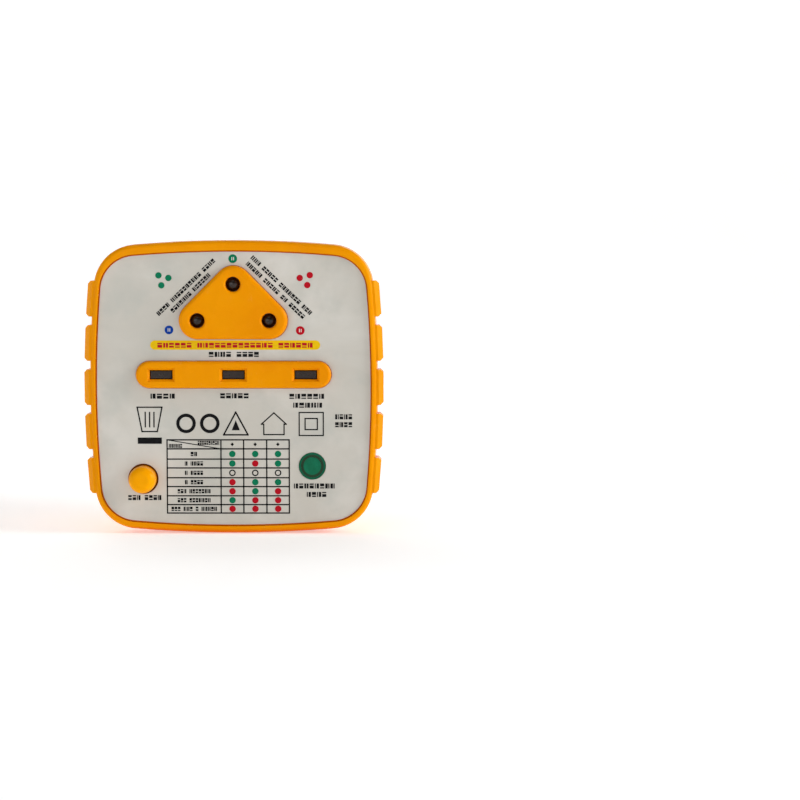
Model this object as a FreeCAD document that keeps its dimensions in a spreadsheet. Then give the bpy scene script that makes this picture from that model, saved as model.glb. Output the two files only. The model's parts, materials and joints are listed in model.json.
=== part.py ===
"""Outlet tester plug: a socket tester with a round two-pin earthed plug on its back.

Frame: X to the right and Z up as the user looks at the label, Y from the label to the pins.
The origin is midway between the two pins on the plug's face. "Depth" is measured from that
face towards the label, so a point at depth d lies at Y = -d and the pin tips at depth -19.
"""
import FreeCAD, Part
import math
import os
import re

import Sketcher

DOC = FreeCAD.newDocument("OutletTester")
SHEET = DOC.addObject("Spreadsheet::Sheet", "Sizes")

SIZES = {
    # outline of the housing at its widest, as four bulged sides and four round corners
    "half_wide": 33.05, "half_tall": 33.7, "side_bulge": 270.0, "corner_round": 10.0,
    "through": 6.0,  # depth of a cut that passes right through a wall
    "wall": 2.0, "rim_depth": 41.0, "parting_depth": 42.5, "front_depth": 48.5,
    "front_draft": 0.15, "lip_outside": 0.95, "lip_inside": 0.1, "tongue_height": 1.0,
    "tongue_gap": 0.15, "tongue_wide": 0.9,
    # side ribs
    "rib_pitch": 10.15, "rib_tip": 3.45, "rib_proud": 1.3, "rib_flank": 0.65, "rib_root": 26.0,
    "rib_slope": 1.1, "rib_set_back": 0.3, "rib_runout": 2.6, "rib_runout_angle": 40.0,
    # front panel and its label
    "panel_depth": 47.6, "panel_thick": 2.0, "panel_drop": 0.34, "panel_half": 31.65,
    "label_gap": 0.3, "label_thick": 0.3,
    # raised triangle with the three round lamps
    "lamp_side": 8.2, "lamp_low": 15.3, "lamp_high": 23.6, "boss_round": 4.25, "boss_height": 2.1,
    "lamp_radius": 1.5, "lamp_flange": 0.4, "lamp_pitch": 2.54, "lamp_leg": 0.5,
    "lamp_hole": 1.68, "lamp_base": 44.2, "lamp_tip": 49.3,
    # raised bar with the three oblong lamps
    "bar_level": 2.9, "bar_reach": 19.3, "bar_round": 3.1, "bar_height": 1.6,
    "oblong_pitch": 16.55, "oblong_wide": 4.9, "oblong_tall": 1.85, "oblong_tip": 48.6,
    "window_wide": 5.2, "window_tall": 2.1, "lamp_bevel": 0.6, "window_bevel": 0.55,
    # test button: position, cap, travel and switch
    "button_side": -20.9, "button_level": -21.1, "cap_radius": 3.1, "cap_top": 52.2,
    "cap_dome": 1.8, "cap_hole": 3.45, "cap_flange": 4.1, "guide_bore": 4.5, "guide_outer": 5.5,
    "guide_long": 2.2,
    "stem_radius": 1.1, "switch_size": 6.0, "switch_height": 3.4, "spring_radius": 1.9,
    "cap_wall": 0.7, "flange_low": 44.5, "flange_high": 45.3, "spring_seat": 48.0,
    "stem_top": 50.2, "stem_foot": 41.4,
    "spring_wire": 0.36, "spring_pitch": 1.25, "spring_long": 5.0,
    # touch pad
    "touch_side": 17.96, "touch_level": -18.15, "touch_radius": 3.1, "touch_stem": 1.1,
    "touch_top": 48.0, "touch_tail": 45.2, "groove_inner": 2.05, "groove_outer": 2.6,
    "groove_deep": 0.12, "contact_foot": 1.7, "contact_radius": 0.9,
    # screws between the shells
    "post_side_high": 21.5, "post_level_high": 25.6, "post_side_low": 13.0,
    "post_level_low": 27.0, "post_radius": 2.5, "shell_screw": 1.15, "screw_head": 2.1,
    "head_sunk": 1.5, "rear_post": 4.4, "rear_pilot": 3.9, "board_post": 2.2,
    "board_screw": 0.8, "board_pilot": 5.0,
    # boss that carries the plug insert
    "boss_depth": 17.5, "boss_outer": 24.4, "boss_floor": 22.0, "boss_bore": 19.0,
    "boss_slope": 2.0, "flare_start": 19.5, "flare_radius": 24.0,
    "seat_radius": 21.35, "seat_depth": 20.0,
    "insert_screw": 0.9, "insert_screw_head": 1.7, "insert_pilot": 1.3,
    # vents
    "vent_side": 28.05, "vent_wide": 2.1, "vent_level": 10.0, "vent_long": 8.5, "vent_short": 5.2,
    # plug insert
    "plug_radius": 17.9, "plug_flat": 15.75, "plug_rib": 3.8, "plug_face": 2.6,
    "plug_wall": 2.0, "flange_radius": 21.15, "flange_sunk": 0.7,
    "frame_level": 8.2, "frame_wide": 11.7, "frame_tall": 11.8, "frame_round": 1.2,
    "frame_sunk": 0.7, "frame_gap": 0.2, "contact_slot": 6.6, "side_window": 3.6,
    # white moulding that carries the pins
    "carrier_gap": 0.1, "carrier_half": 6.8, "carrier_thick": 3.4, "frame_deep": 5.9,
    "well_level": 8.6, "well_wide": 9.3, "well_tall": 8.8, "collar_proud": 0.4,
    # pins
    "pin_pitch": 19.0, "pin_radius": 2.4, "pin_long": 19.0, "pin_shank": 2.1,
    "collar_radius": 3.3, "collar_hole": 3.5, "tail_radius": 1.5, "pin_shoulder": 0.45,
    "shank_end": 6.2, "tail_end": 10.5,
    # earth contacts
    "earth_level": 10.0, "earth_hole": 2.72, "strip_wide": 5.9, "strip_thick": 0.6,
    "leaf_wide": 3.2, "ring_rim": 0.62, "ring_sunk": 0.05, "cage_level": 9.65,
    "cage_thick": 0.45, "cage_tall": 5.4, "pin_passage": 2.35, "bottom_thick": 0.5,
    # board and the leads that reach it
    "board_front": 39.2, "board_thick": 1.6, "board_wide": 27.0, "board_low": 24.2,
    "board_high": 26.8, "board_shoulder": 15.5, "board_trim": 3.6, "lead_radius": 0.95,
}
ROW = 1
for alias, value in SIZES.items():
    SHEET.set("A%d" % ROW, alias)
    SHEET.set("B%d" % ROW, str(value))
    SHEET.setAlias("B%d" % ROW, alias)
    ROW += 1
DOC.recompute()

XZ, XY, YZ = "XZ_Plane", "XY_Plane", "YZ_Plane"
Vector = FreeCAD.Vector


# ---- sums on the sheet ---------------------------------------------------------------------

def factors(term):
    """Splits a product such as 'pin_pitch/2' into (operator, factor) pairs."""
    return re.findall(r"([*/]?)([A-Za-z_]\w*|[\d.]+)", term)


def amount(formula):
    """Value of a sum such as 'rim_depth - 2*wall' worked out from SIZES."""
    total, sign = 0.0, 1.0
    for token in str(formula).split():
        if token in "+-":
            sign = 1.0 if token == "+" else -1.0
            continue
        if token[0] == "-":
            sign, token = -sign, token[1:]
        product = 1.0
        for operator, factor in factors(token):
            number = SIZES[factor] if factor in SIZES else float(factor)
            product = product / number if operator == "/" else product * number
        total += sign * product
        sign = 1.0
    return total


def flipped(formula):
    """The same sum with every sign turned round."""
    signs = {"+": "-", "-": "+"}
    tokens = [signs.get(token, token) for token in str(formula).split()]
    tokens[0] = tokens[0][1:] if tokens[0][0] == "-" else "-" + tokens[0]
    return " ".join(tokens)


def half(formula):
    """Half of a sum."""
    return " ".join(token if token in "+-" else token + "/2" for token in formula.split())


def less(formula, taken):
    """One sum with another taken from it."""
    return "%s + %s" % (formula, flipped(taken))


def bound(formula):
    """The same sum as an expression that reads the sheet."""
    return re.sub(r"[A-Za-z_]\w*", lambda word: "Sizes." + word.group(0), str(formula))


def bind(thing, path, formula):
    """Binds a property of an object to a sum on the sheet."""
    thing.setExpression(path, bound(formula))


# ---- bodies, sketches and features ---------------------------------------------------------

PARTS = []


def new_body(label, separate_solids=False):
    """A body that becomes one node; several separate solids only for groups of fasteners."""
    body = DOC.addObject("PartDesign::Body", label)
    body.Label = label
    body.AllowCompound = separate_solids
    PARTS.append(body)
    return body


def sketch_on(body, name, depth="0", plane=XZ):
    """A sketch on one of the body's own planes, moved along the plane's normal by depth."""
    sketch = body.newObject("Sketcher::SketchObject", body.Name + "_" + name)
    support = [f for f in body.Origin.OriginFeatures if f.Role == plane][0]
    sketch.AttachmentSupport = [(support, "")]
    sketch.MapMode = "FlatFace"
    offset = Vector(0, 0, amount(depth))
    sketch.AttachmentOffset = FreeCAD.Placement(offset, FreeCAD.Rotation())
    bind(sketch, "AttachmentOffset.Base.z", depth)
    return sketch


def dimension(sketch, kind, places, formula):
    """A driving dimension bound to the sheet; its sign follows the drawn geometry."""
    value = amount(formula)
    index = sketch.addConstraint(Sketcher.Constraint(kind, *places, value))
    name = "d%d" % index
    sketch.renameConstraint(index, name)
    bind(sketch, "Constraints." + name, formula)


def place_point(sketch, geometry, point, across, up):
    """Holds a point of the geometry at (across, up) from the sketch's origin."""
    dimension(sketch, "DistanceX", (-1, 1, geometry, point), across)
    dimension(sketch, "DistanceY", (-1, 1, geometry, point), up)


def circle(sketch, across, up, radius):
    """A circle with its centre and radius bound to the sheet."""
    centre = Vector(amount(across), amount(up), 0)
    item = sketch.addGeometry(Part.Circle(centre, Vector(0, 0, 1), amount(radius)), False)
    place_point(sketch, item, 3, across, up)
    dimension(sketch, "Radius", (item,), radius)
    return item


def polygon(sketch, corners):
    """A closed outline of straight lines; each corner is a pair of sums."""
    points = [Vector(amount(across), amount(up), 0) for across, up in corners]
    lines = []
    for start, end in zip(points, points[1:] + points[:1]):
        lines.append(sketch.addGeometry(Part.LineSegment(start, end), False))
    for line, following in zip(lines, lines[1:] + lines[:1]):
        sketch.addConstraint(Sketcher.Constraint("Coincident", line, 2, following, 1))
    for line, (across, up) in zip(lines, corners):
        place_point(sketch, line, 1, across, up)
    return lines


def rectangle(sketch, across, up, wide, tall):
    """An upright rectangle about (across, up)."""
    left, right = less(across, half(wide)), "%s + %s" % (across, half(wide))
    low, high = less(up, half(tall)), "%s + %s" % (up, half(tall))
    return polygon(sketch, [(left, low), (right, low), (right, high), (left, high)])


def hull_of_circles(sketch, centres, radius):
    """The outline of equal circles with straight tangents, given anticlockwise."""
    spots = [Vector(amount(across), amount(up), 0) for across, up in centres]
    count, reach = len(spots), amount(radius)
    arcs, lines = [], []
    for number, spot in enumerate(spots):
        before = spot - spots[number - 1]
        after = spots[(number + 1) % count] - spot
        first = math.atan2(before.y, before.x) - math.pi / 2
        last = math.atan2(after.y, after.x) - math.pi / 2
        while last < first:
            last += 2 * math.pi
        round_end = Part.Circle(spot, Vector(0, 0, 1), reach)
        arcs.append(sketch.addGeometry(Part.ArcOfCircle(round_end, first, last), False))
    for number, spot in enumerate(spots):
        following = spots[(number + 1) % count]
        along = following - spot
        side = Vector(along.y, -along.x, 0).normalize() * reach
        lines.append(sketch.addGeometry(Part.LineSegment(spot + side, following + side), False))
    for number, arc in enumerate(arcs):
        following = arcs[(number + 1) % count]
        sketch.addConstraint(Sketcher.Constraint("Tangent", arc, 2, lines[number], 1))
        sketch.addConstraint(Sketcher.Constraint("Tangent", lines[number], 2, following, 1))
        place_point(sketch, arc, 3, *centres[number])
        if number == 0:
            dimension(sketch, "Radius", (arc,), radius)
        elif count > 2 or number == 0:
            sketch.addConstraint(Sketcher.Constraint("Equal", arcs[0], arc))
    return arcs


def round_rectangle(sketch, across, up, wide, tall, corner):
    """An upright rectangle about (across, up) with rounded corners."""
    across_reach, up_reach = less(half(wide), corner), less(half(tall), corner)
    left, right = less(across, across_reach), "%s + %s" % (across, across_reach)
    low, high = less(up, up_reach), "%s + %s" % (up, up_reach)
    hull_of_circles(sketch, [(left, low), (right, low), (right, high), (left, high)], corner)


def bulged_outline(sketch, half_wide, half_tall, bulge, corner, drop="0"):
    """Four bulged sides and four round corners, each tangent to the next."""
    wide, tall = amount(half_wide), amount(half_tall)
    big, small, low = amount(bulge), amount(corner), -amount(drop)
    # the corner's centre lies at big - small from the centres of both of its sides
    side_x, top_y = wide - big, tall - big
    reach = big - small
    across, up = wide - small, tall - small
    for _ in range(60):
        across = side_x + math.sqrt(reach ** 2 - up ** 2)
        up = 0.5 * (up + top_y + math.sqrt(reach ** 2 - across ** 2))
    start = math.atan2(up, across - side_x)
    end = math.atan2(up - top_y, across)
    half_turn = math.pi
    spans = [
        ((side_x, 0), big, -start, start), ((across, up), small, start, end),
        ((0, top_y), big, end, half_turn - end), ((-across, up), small, half_turn - end,
                                                  half_turn - start),
        ((-side_x, 0), big, half_turn - start, half_turn + start),
        ((-across, -up), small, half_turn + start, half_turn + end),
        ((0, -top_y), big, half_turn + end, 2 * half_turn - end),
        ((across, -up), small, -end, -start),
    ]
    arcs = []
    for (x, y), radius, first, last in spans:
        whole = Part.Circle(Vector(x, y + low, 0), Vector(0, 0, 1), radius)
        arcs.append(sketch.addGeometry(Part.ArcOfCircle(whole, first, last), False))
    for arc, following in zip(arcs, arcs[1:] + arcs[:1]):
        sketch.addConstraint(Sketcher.Constraint("Tangent", arc, 2, following, 1))
    dimension(sketch, "Radius", (arcs[0],), bulge)
    dimension(sketch, "Radius", (arcs[1],), corner)
    for number in (2, 4, 6):
        sketch.addConstraint(Sketcher.Constraint("Equal", arcs[0], arcs[number]))
        sketch.addConstraint(Sketcher.Constraint("Equal", arcs[1], arcs[number + 1]))
    place_point(sketch, arcs[0], 3, less(half_wide, bulge), "-%s" % drop)
    place_point(sketch, arcs[2], 3, "0", "-%s + %s" % (drop, less(half_tall, bulge)))
    return arcs


def split_circle(sketch, radius, split_angle):
    """A circle cut into the same eight arcs as a bulged outline, for a loft between the two."""
    cuts = [split_angle, 90 - split_angle]
    turns = [-split_angle] + cuts + [180 - cut for cut in reversed(cuts)]
    turns += [180 + cut for cut in cuts] + [270 + split_angle]
    arcs = []
    for first, last in zip(turns, turns[1:] + [turns[0] + 360]):
        whole = Part.Circle(Vector(0, 0, 0), Vector(0, 0, 1), amount(radius))
        arc = Part.ArcOfCircle(whole, math.radians(first), math.radians(last))
        arcs.append(sketch.addGeometry(arc, False))
    for arc, following in zip(arcs, arcs[1:] + arcs[:1]):
        sketch.addConstraint(Sketcher.Constraint("Coincident", arc, 2, following, 1))
    sketch.addConstraint(Sketcher.Constraint("Coincident", arcs[0], 3, -1, 1))
    for arc in arcs[1:-1]:
        sketch.addConstraint(Sketcher.Constraint("Coincident", arc, 3, arcs[0], 3))
    sketch.addConstraint(Sketcher.Constraint("Equal", arcs[0], arcs[-1]))
    dimension(sketch, "Radius", (arcs[0],), radius)
    return arcs


def add_feature(body, kind, name, profile):
    feature = body.newObject("PartDesign::" + kind, body.Name + "_" + name)
    feature.Profile = profile
    profile.Visibility = False
    return feature


def finish_feature(body, feature):
    body.Tip = feature
    DOC.recompute()
    if not feature.isValid() or feature.Shape.isNull() or not feature.Shape.isValid():
        raise ValueError("%s failed: %s" % (feature.Name, feature.State))


def pad(body, name, profile, length, towards_pins=False, both_ways=False, taper=None):
    """Adds material from the sketch towards the label, or towards the pins."""
    feature = add_feature(body, "Pad", name, profile)
    bind(feature, "Length", length)
    feature.Reversed = towards_pins
    feature.Midplane = both_ways
    if taper:
        bind(feature, "TaperAngle", taper)
    finish_feature(body, feature)
    return feature


def cut(body, name, profile, length, towards_label=False, both_ways=False):
    """Removes material from the sketch towards the pins, or towards the label."""
    before = body.Shape.Volume
    feature = add_feature(body, "Pocket", name, profile)
    bind(feature, "Length", length)
    feature.Reversed = towards_label
    feature.Midplane = both_ways
    finish_feature(body, feature)
    if body.Shape.Volume >= before - 1e-4:
        raise ValueError("%s cuts nothing" % feature.Name)
    return feature


def loft(body, kind, name, sections, ruled=False):
    feature = add_feature(body, kind, name, sections[0])
    feature.Sections = sections[1:]
    feature.Ruled = ruled
    finish_feature(body, feature)
    return feature


def turn(body, name, profile, axis="V_Axis", kind="Revolution"):
    """Turns a sketch all the way round one of its own axes."""
    feature = add_feature(body, kind, name, profile)
    feature.ReferenceAxis = (profile, [axis])
    feature.Angle = 360
    finish_feature(body, feature)
    return feature


def edges_where(body, test):
    """Names of the edges whose centre of gravity and bounds pass the test."""
    names = []
    for number, edge in enumerate(body.Shape.Edges):
        if test(edge):
            names.append("Edge%d" % (number + 1))
    return names


def at_depth(edge, depth):
    box = edge.BoundBox
    return abs(box.YMin + depth) < 1e-3 and abs(box.YMax + depth) < 1e-3


def round_edges(body, name, test, radius, kind="Fillet"):
    """Rounds, or chamfers, the edges that pass the test."""
    names = edges_where(body, test)
    if not names:
        raise ValueError("%s %s finds no edge" % (body.Label, name))
    base = body.Tip
    feature = body.newObject("PartDesign::" + kind, body.Name + "_" + name)
    feature.Base = (base, names)
    if kind == "Fillet":
        bind(feature, "Radius", radius)
    else:
        bind(feature, "Size", radius)
    finish_feature(body, feature)
    if not body.Shape.isValid() or body.Shape.isNull():
        raise ValueError("%s %s fails" % (body.Label, name))
    return feature


# ---- housing -------------------------------------------------------------------------------

RIB_NUMBERS = (-2, -1, 0, 1, 2)
SCREW_PLACES = [
    ("post_side_high", "post_level_high"), ("-post_side_high", "post_level_high"),
    ("post_side_low", "-post_level_low"), ("-post_side_low", "-post_level_low"),
]
BOARD_SCREW_PLACES = [("24.2", "12"), ("-24.2", "12"), ("24.2", "-9"), ("-24.2", "-9")]
LAMP_PLACES = {
    "earth_lamp": ("0", "lamp_high"),
    "neutral_lamp": ("-lamp_side", "lamp_low"),
    "live_lamp": ("lamp_side", "lamp_low"),
}
OBLONG_PLACES = {"good_lamp": "-oblong_pitch", "check_lamp": "0", "urgent_lamp": "oblong_pitch"}
INSERT_SCREWS = [("14.2", "14.2"), ("-14.2", "14.2"), ("-14.2", "-14.2"), ("14.2", "-14.2")]
PIN_PLACES = [("-pin_pitch/2", "0"), ("pin_pitch/2", "0")]
TRIANGLE = [("-lamp_side", "lamp_low"), ("lamp_side", "lamp_low"), ("0", "lamp_high")]
BAR = [("-bar_reach", "bar_level"), ("bar_reach", "bar_level")]
LEAD_BEND = 7.0  # bend radius of the insulated leads


def slot_outline(sketch, centres, radius):
    """A round-ended slot between two centres."""
    start = Vector(amount(centres[0][0]), amount(centres[0][1]), 0)
    end = Vector(amount(centres[1][0]), amount(centres[1][1]), 0)
    heading = math.atan2(end.y - start.y, end.x - start.x)
    reach, quarter = amount(radius), math.pi / 2
    side = Vector(math.sin(heading), -math.cos(heading), 0) * reach
    far = Part.ArcOfCircle(Part.Circle(end, Vector(0, 0, 1), reach), heading - quarter,
                           heading + quarter)
    near = Part.ArcOfCircle(Part.Circle(start, Vector(0, 0, 1), reach), heading + quarter,
                            heading + 3 * quarter)
    lower = sketch.addGeometry(Part.LineSegment(start + side, end + side), False)
    far_arc = sketch.addGeometry(far, False)
    upper = sketch.addGeometry(Part.LineSegment(end - side, start - side), False)
    near_arc = sketch.addGeometry(near, False)
    ring = [lower, far_arc, upper, near_arc]
    for item, following in zip(ring, ring[1:] + ring[:1]):
        sketch.addConstraint(Sketcher.Constraint("Tangent", item, 2, following, 1))
    place_point(sketch, near_arc, 3, *centres[0])
    place_point(sketch, far_arc, 3, *centres[1])
    dimension(sketch, "Radius", (far_arc,), radius)


def rib_outlines(sketch):
    """Ten ribs with chamfered ends whose outer faces follow the bulge of the two sides."""
    for number in RIB_NUMBERS:
        level = "%d*rib_pitch" % number
        ends = []
        for end in (-1, 1):
            sag = "%g*rib_pitch*rib_pitch/side_bulge + %d*rib_pitch*rib_tip/side_bulge" % (
                0.5 * number ** 2, end * number)
            sag += " + 0.5*rib_tip*rib_tip/side_bulge"
            outer = less("half_wide + rib_proud", sag)
            sign = "-+"[end > 0]
            root = "%s %s rib_tip %s rib_flank" % (level, sign, sign)
            tip = "%s %s rib_tip" % (level, sign)
            ends.append([("rib_root", root), ("%s - rib_flank" % outer, root), (outer, tip)])
        right = ends[0] + ends[1][::-1]
        polygon(sketch, right)
        polygon(sketch, [(flipped(across), up) for across, up in reversed(right)])


def circles(body, name, places, radius, depth):
    """A sketch of equal circles."""
    sketch = sketch_on(body, name, depth)
    for across, up in places:
        circle(sketch, across, up, radius)
    return sketch


def make_front_shell():
    body = new_body("front_shell")
    back = sketch_on(body, "rim", "parting_depth")
    bulged_outline(back, "half_wide", "half_tall", "side_bulge", "corner_round")
    front = sketch_on(body, "lip", "front_depth")
    bulged_outline(front, "half_wide - front_draft", "half_tall - front_draft", "side_bulge",
                   "corner_round - front_draft")
    loft(body, "AdditiveLoft", "block", [back, front], ruled=True)
    lip = amount("front_depth")
    round_edges(body, "outer_rounding", lambda edge: at_depth(edge, lip), "lip_outside")
    ribs = sketch_on(body, "rib_outlines", "parting_depth")
    rib_outlines(ribs)
    pad(body, "ribs", ribs, "front_depth - parting_depth - rib_set_back")
    rib_front = amount("front_depth - rib_set_back")
    longest = amount("2*rib_tip")

    def rib_end(edge):
        outer = abs(edge.CenterOfMass.x) > amount("half_wide")
        return at_depth(edge, rib_front) and outer and edge.Length >= longest

    round_edges(body, "rib_slopes", rib_end, "rib_slope", kind="Chamfer")

    recess = sketch_on(body, "recess", "front_depth")
    bulged_outline(recess, "panel_half", "panel_half", "side_bulge", "corner_round - 1.6",
                   drop="panel_drop")
    cut(body, "panel_recess", recess, "front_depth - panel_depth")
    round_edges(body, "lip_rounding", lambda edge: at_depth(edge, lip) and
                max(edge.BoundBox.XMax, edge.BoundBox.ZMax, -edge.BoundBox.XMin,
                    -edge.BoundBox.ZMin) < amount("panel_half + panel_drop") + 0.05, "lip_inside")

    triangle = sketch_on(body, "triangle_outline", "panel_depth")
    hull_of_circles(triangle, TRIANGLE, "boss_round")
    pad(body, "triangle", triangle, "boss_height")
    bar = sketch_on(body, "bar_outline", "panel_depth")
    slot_outline(bar, BAR, "bar_round")
    pad(body, "bar", bar, "bar_height")
    top = amount("panel_depth + boss_height")
    bar_top = amount("panel_depth + bar_height")
    round_edges(body, "triangle_rounding", lambda edge: at_depth(edge, top), "1.0")
    round_edges(body, "bar_rounding", lambda edge: at_depth(edge, bar_top), "0.8")

    cavity = sketch_on(body, "cavity", "panel_depth - panel_thick")
    bulged_outline(cavity, "half_wide - wall", "half_tall - wall", "side_bulge - wall",
                   "corner_round - wall")
    cut(body, "hollow", cavity, "panel_depth - panel_thick - parting_depth")
    step = sketch_on(body, "tongue_step", "parting_depth + tongue_height + tongue_gap")
    bulged_outline(step, "half_wide - tongue_wide", "half_tall - tongue_wide",
                   "side_bulge - tongue_wide", "corner_round - tongue_wide")
    cut(body, "tongue_seat", step, "tongue_height + tongue_gap")

    posts = circles(body, "post_circles", SCREW_PLACES, "post_radius",
                    "panel_depth - panel_thick")
    pad(body, "posts", posts, "panel_depth - panel_thick - parting_depth", towards_pins=True)
    board_posts = circles(body, "board_post_circles", BOARD_SCREW_PLACES, "board_post",
                          "panel_depth - panel_thick")
    pad(body, "board_posts", board_posts, "panel_depth - panel_thick - board_front",
        towards_pins=True)
    sleeve = circles(body, "guide_circle", [("button_side", "button_level")], "guide_outer",
                     "panel_depth - panel_thick")
    pad(body, "guide", sleeve, "guide_long", towards_pins=True)
    bore = circles(body, "guide_bore_circle", [("button_side", "button_level")], "guide_bore",
                   "panel_depth - panel_thick")
    cut(body, "guide_bore", bore, "guide_long + 0.8")

    lamps = circles(body, "lamp_circles", LAMP_PLACES.values(), "lamp_hole",
                    "panel_depth + boss_height")
    cut(body, "lamp_holes", lamps, "through")
    round_edges(body, "lamp_bevels", lambda edge: at_depth(edge, top) and
                edge.Curve.TypeId == "Part::GeomCircle" and
                abs(edge.Curve.Radius - amount("lamp_hole")) < 1e-3, "lamp_bevel")
    windows = sketch_on(body, "window_outlines", "panel_depth + bar_height")
    for across in OBLONG_PLACES.values():
        rectangle(windows, across, "bar_level", "window_wide", "window_tall")
    cut(body, "windows", windows, "through")
    half_window = amount("window_wide") / 2 + 0.01

    def window_edge(edge):
        middle = edge.CenterOfMass
        spots = [amount(across) for across in OBLONG_PLACES.values()]
        near = min(abs(middle.x - spot) for spot in spots) < half_window
        inside = abs(middle.z - amount("bar_level")) < amount("window_tall") / 2 + 0.01
        return at_depth(edge, bar_top) and near and inside

    round_edges(body, "window_bevels", window_edge, "window_bevel", kind="Chamfer")

    button = circles(body, "cap_circle", [("button_side", "button_level")], "cap_hole",
                     "panel_depth")
    cut(body, "cap_opening", button, "through/2")
    touch = circles(body, "touch_circle", [("touch_side", "touch_level")], "touch_stem + 0.15",
                    "panel_depth")
    cut(body, "touch_hole", touch, "through/2")
    heads = circles(body, "head_circles", SCREW_PLACES, "screw_head + 0.2", "panel_depth")
    cut(body, "head_seats", heads, "head_sunk")
    shanks = circles(body, "shank_circles", SCREW_PLACES, "shell_screw + 0.2", "panel_depth")
    cut(body, "shank_holes", shanks, "through")
    pilots = circles(body, "pilot_circles", BOARD_SCREW_PLACES, "board_screw", "board_front")
    cut(body, "board_pilots", pilots, "board_pilot", towards_label=True)
    return body


def shell_section(body, name, depth, half_wide, half_tall, bulge, corner, inset="0"):
    """One cross-section of the flared rear shell, inset for the inner surface."""
    sketch = sketch_on(body, name, depth)
    bulged_outline(sketch, "%s - %s" % (half_wide, inset), "%s - %s" % (half_tall, inset),
                   "%s - %s" % (bulge, inset), "%s - %s" % (corner, inset))
    return sketch


FLARE = [  # depth, half width, half height, side bulge, corner radius
    ("26", "25.7", "25.9", "60", "20"),
    ("34", "29.0", "29.5", "120", "15"),
    ("rim_depth", "half_wide", "half_tall", "side_bulge", "corner_round"),
]


def flare(body, kind, name, start_depth, start_radius, inset):
    """Loft from the round boss to the rounded square rim."""
    start = sketch_on(body, name + "_start", start_depth)
    split_circle(start, start_radius, 10)
    sections = [start]
    for number, values in enumerate(FLARE):
        sections.append(shell_section(body, "%s_%d" % (name, number), *values, inset=inset))
    return loft(body, kind, name, sections)


def make_rear_shell():
    body = new_body("rear_shell")
    flare(body, "AdditiveLoft", "outer", "flare_start", "flare_radius", "0")
    rim = shell_section(body, "rim_band", "rim_depth", "half_wide", "half_tall", "side_bulge",
                        "corner_round")
    pad(body, "band", rim, "parting_depth - rim_depth")
    ribs = sketch_on(body, "rib_outlines", "parting_depth")
    rib_outlines(ribs)
    pad(body, "ribs", ribs, "rib_runout", towards_pins=True, taper="-rib_runout_angle")

    lip = sketch_on(body, "boss_profile", plane=XY)
    polygon(lip, [("boss_bore", "-boss_depth"), ("boss_outer - boss_slope", "-boss_depth"),
                  ("boss_outer - 0.3*boss_slope", "-boss_depth - 0.3*boss_slope"),
                  ("boss_outer", "-boss_depth - boss_slope"),
                  ("boss_outer", "-boss_floor"), ("boss_bore", "-boss_floor")])
    turn(body, "boss", lip)

    flare(body, "SubtractiveLoft", "inner", "boss_floor", "boss_outer - wall - 0.5", "wall")
    band = shell_section(body, "inner_band", "rim_depth", "half_wide", "half_tall",
                         "side_bulge", "corner_round", inset="wall")
    cut(body, "mouth", band, "parting_depth - rim_depth", towards_label=True)
    tongue = sketch_on(body, "tongue", "parting_depth")
    bulged_outline(tongue, "half_wide - tongue_wide - 0.1", "half_tall - tongue_wide - 0.1",
                   "side_bulge - tongue_wide", "corner_round - tongue_wide")
    bulged_outline(tongue, "half_wide - wall", "half_tall - wall", "side_bulge - wall",
                   "corner_round - wall")
    pad(body, "tongue_ring", tongue, "tongue_height")

    bore = circles(body, "bore_circle", [("0", "0")], "boss_bore", "boss_floor")
    cut(body, "bore", bore, "boss_floor")
    seat = circles(body, "seat_circle", [("0", "0")], "seat_radius", "seat_depth")
    cut(body, "seat", seat, "seat_depth")

    posts = circles(body, "post_circles", SCREW_PLACES, "post_radius", "parting_depth")
    pad(body, "posts", posts, "rear_post", towards_pins=True)
    pilots = circles(body, "pilot_circles", SCREW_PLACES, "shell_screw", "parting_depth")
    cut(body, "pilots", pilots, "rear_pilot")

    vents = sketch_on(body, "vent_outlines", "boss_floor")
    for side in ("vent_side", "-vent_side"):
        for level, length in (("vent_level", "vent_long"), ("0", "vent_short"),
                              ("-vent_level", "vent_long")):
            reach = less(half(length), "vent_wide/2")
            slot_outline(vents, [(side, less(level, reach)),
                                 (side, "%s + %s" % (level, reach))], "vent_wide/2")
    cut(body, "vents", vents, "parting_depth - boss_floor - 3", towards_label=True)

    clamps = circles(body, "insert_screw_circles", INSERT_SCREWS, "insert_screw + 0.05",
                     "boss_floor + 1")
    cut(body, "insert_screw_holes", clamps, "boss_floor + 1 - seat_depth + 1")
    return body


def make_front_label():
    """Printed sheet in the panel's recess, cut out round everything that stands proud."""
    body = new_body("front_label")
    outline = sketch_on(body, "outline", "panel_depth")
    bulged_outline(outline, "panel_half - label_gap", "panel_half - label_gap", "side_bulge",
                   "corner_round - 1.6 - label_gap", drop="panel_drop")
    pad(body, "sheet", outline, "label_thick")
    triangle = sketch_on(body, "triangle_gap", "panel_depth + label_thick")
    hull_of_circles(triangle, TRIANGLE, "boss_round + 0.1")
    cut(body, "triangle_opening", triangle, "label_thick")
    bar = sketch_on(body, "bar_gap", "panel_depth + label_thick")
    slot_outline(bar, BAR, "bar_round + 0.1")
    cut(body, "bar_opening", bar, "label_thick")
    for name, places, radius in (
            ("cap_gap", [("button_side", "button_level")], "cap_hole + 0.05"),
            ("touch_gap", [("touch_side", "touch_level")], "touch_radius + 0.05")):
        opening = circles(body, name, places, radius, "panel_depth + label_thick")
        cut(body, name + "_opening", opening, "label_thick")


# ---- plug insert and contacts --------------------------------------------------------------

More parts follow.
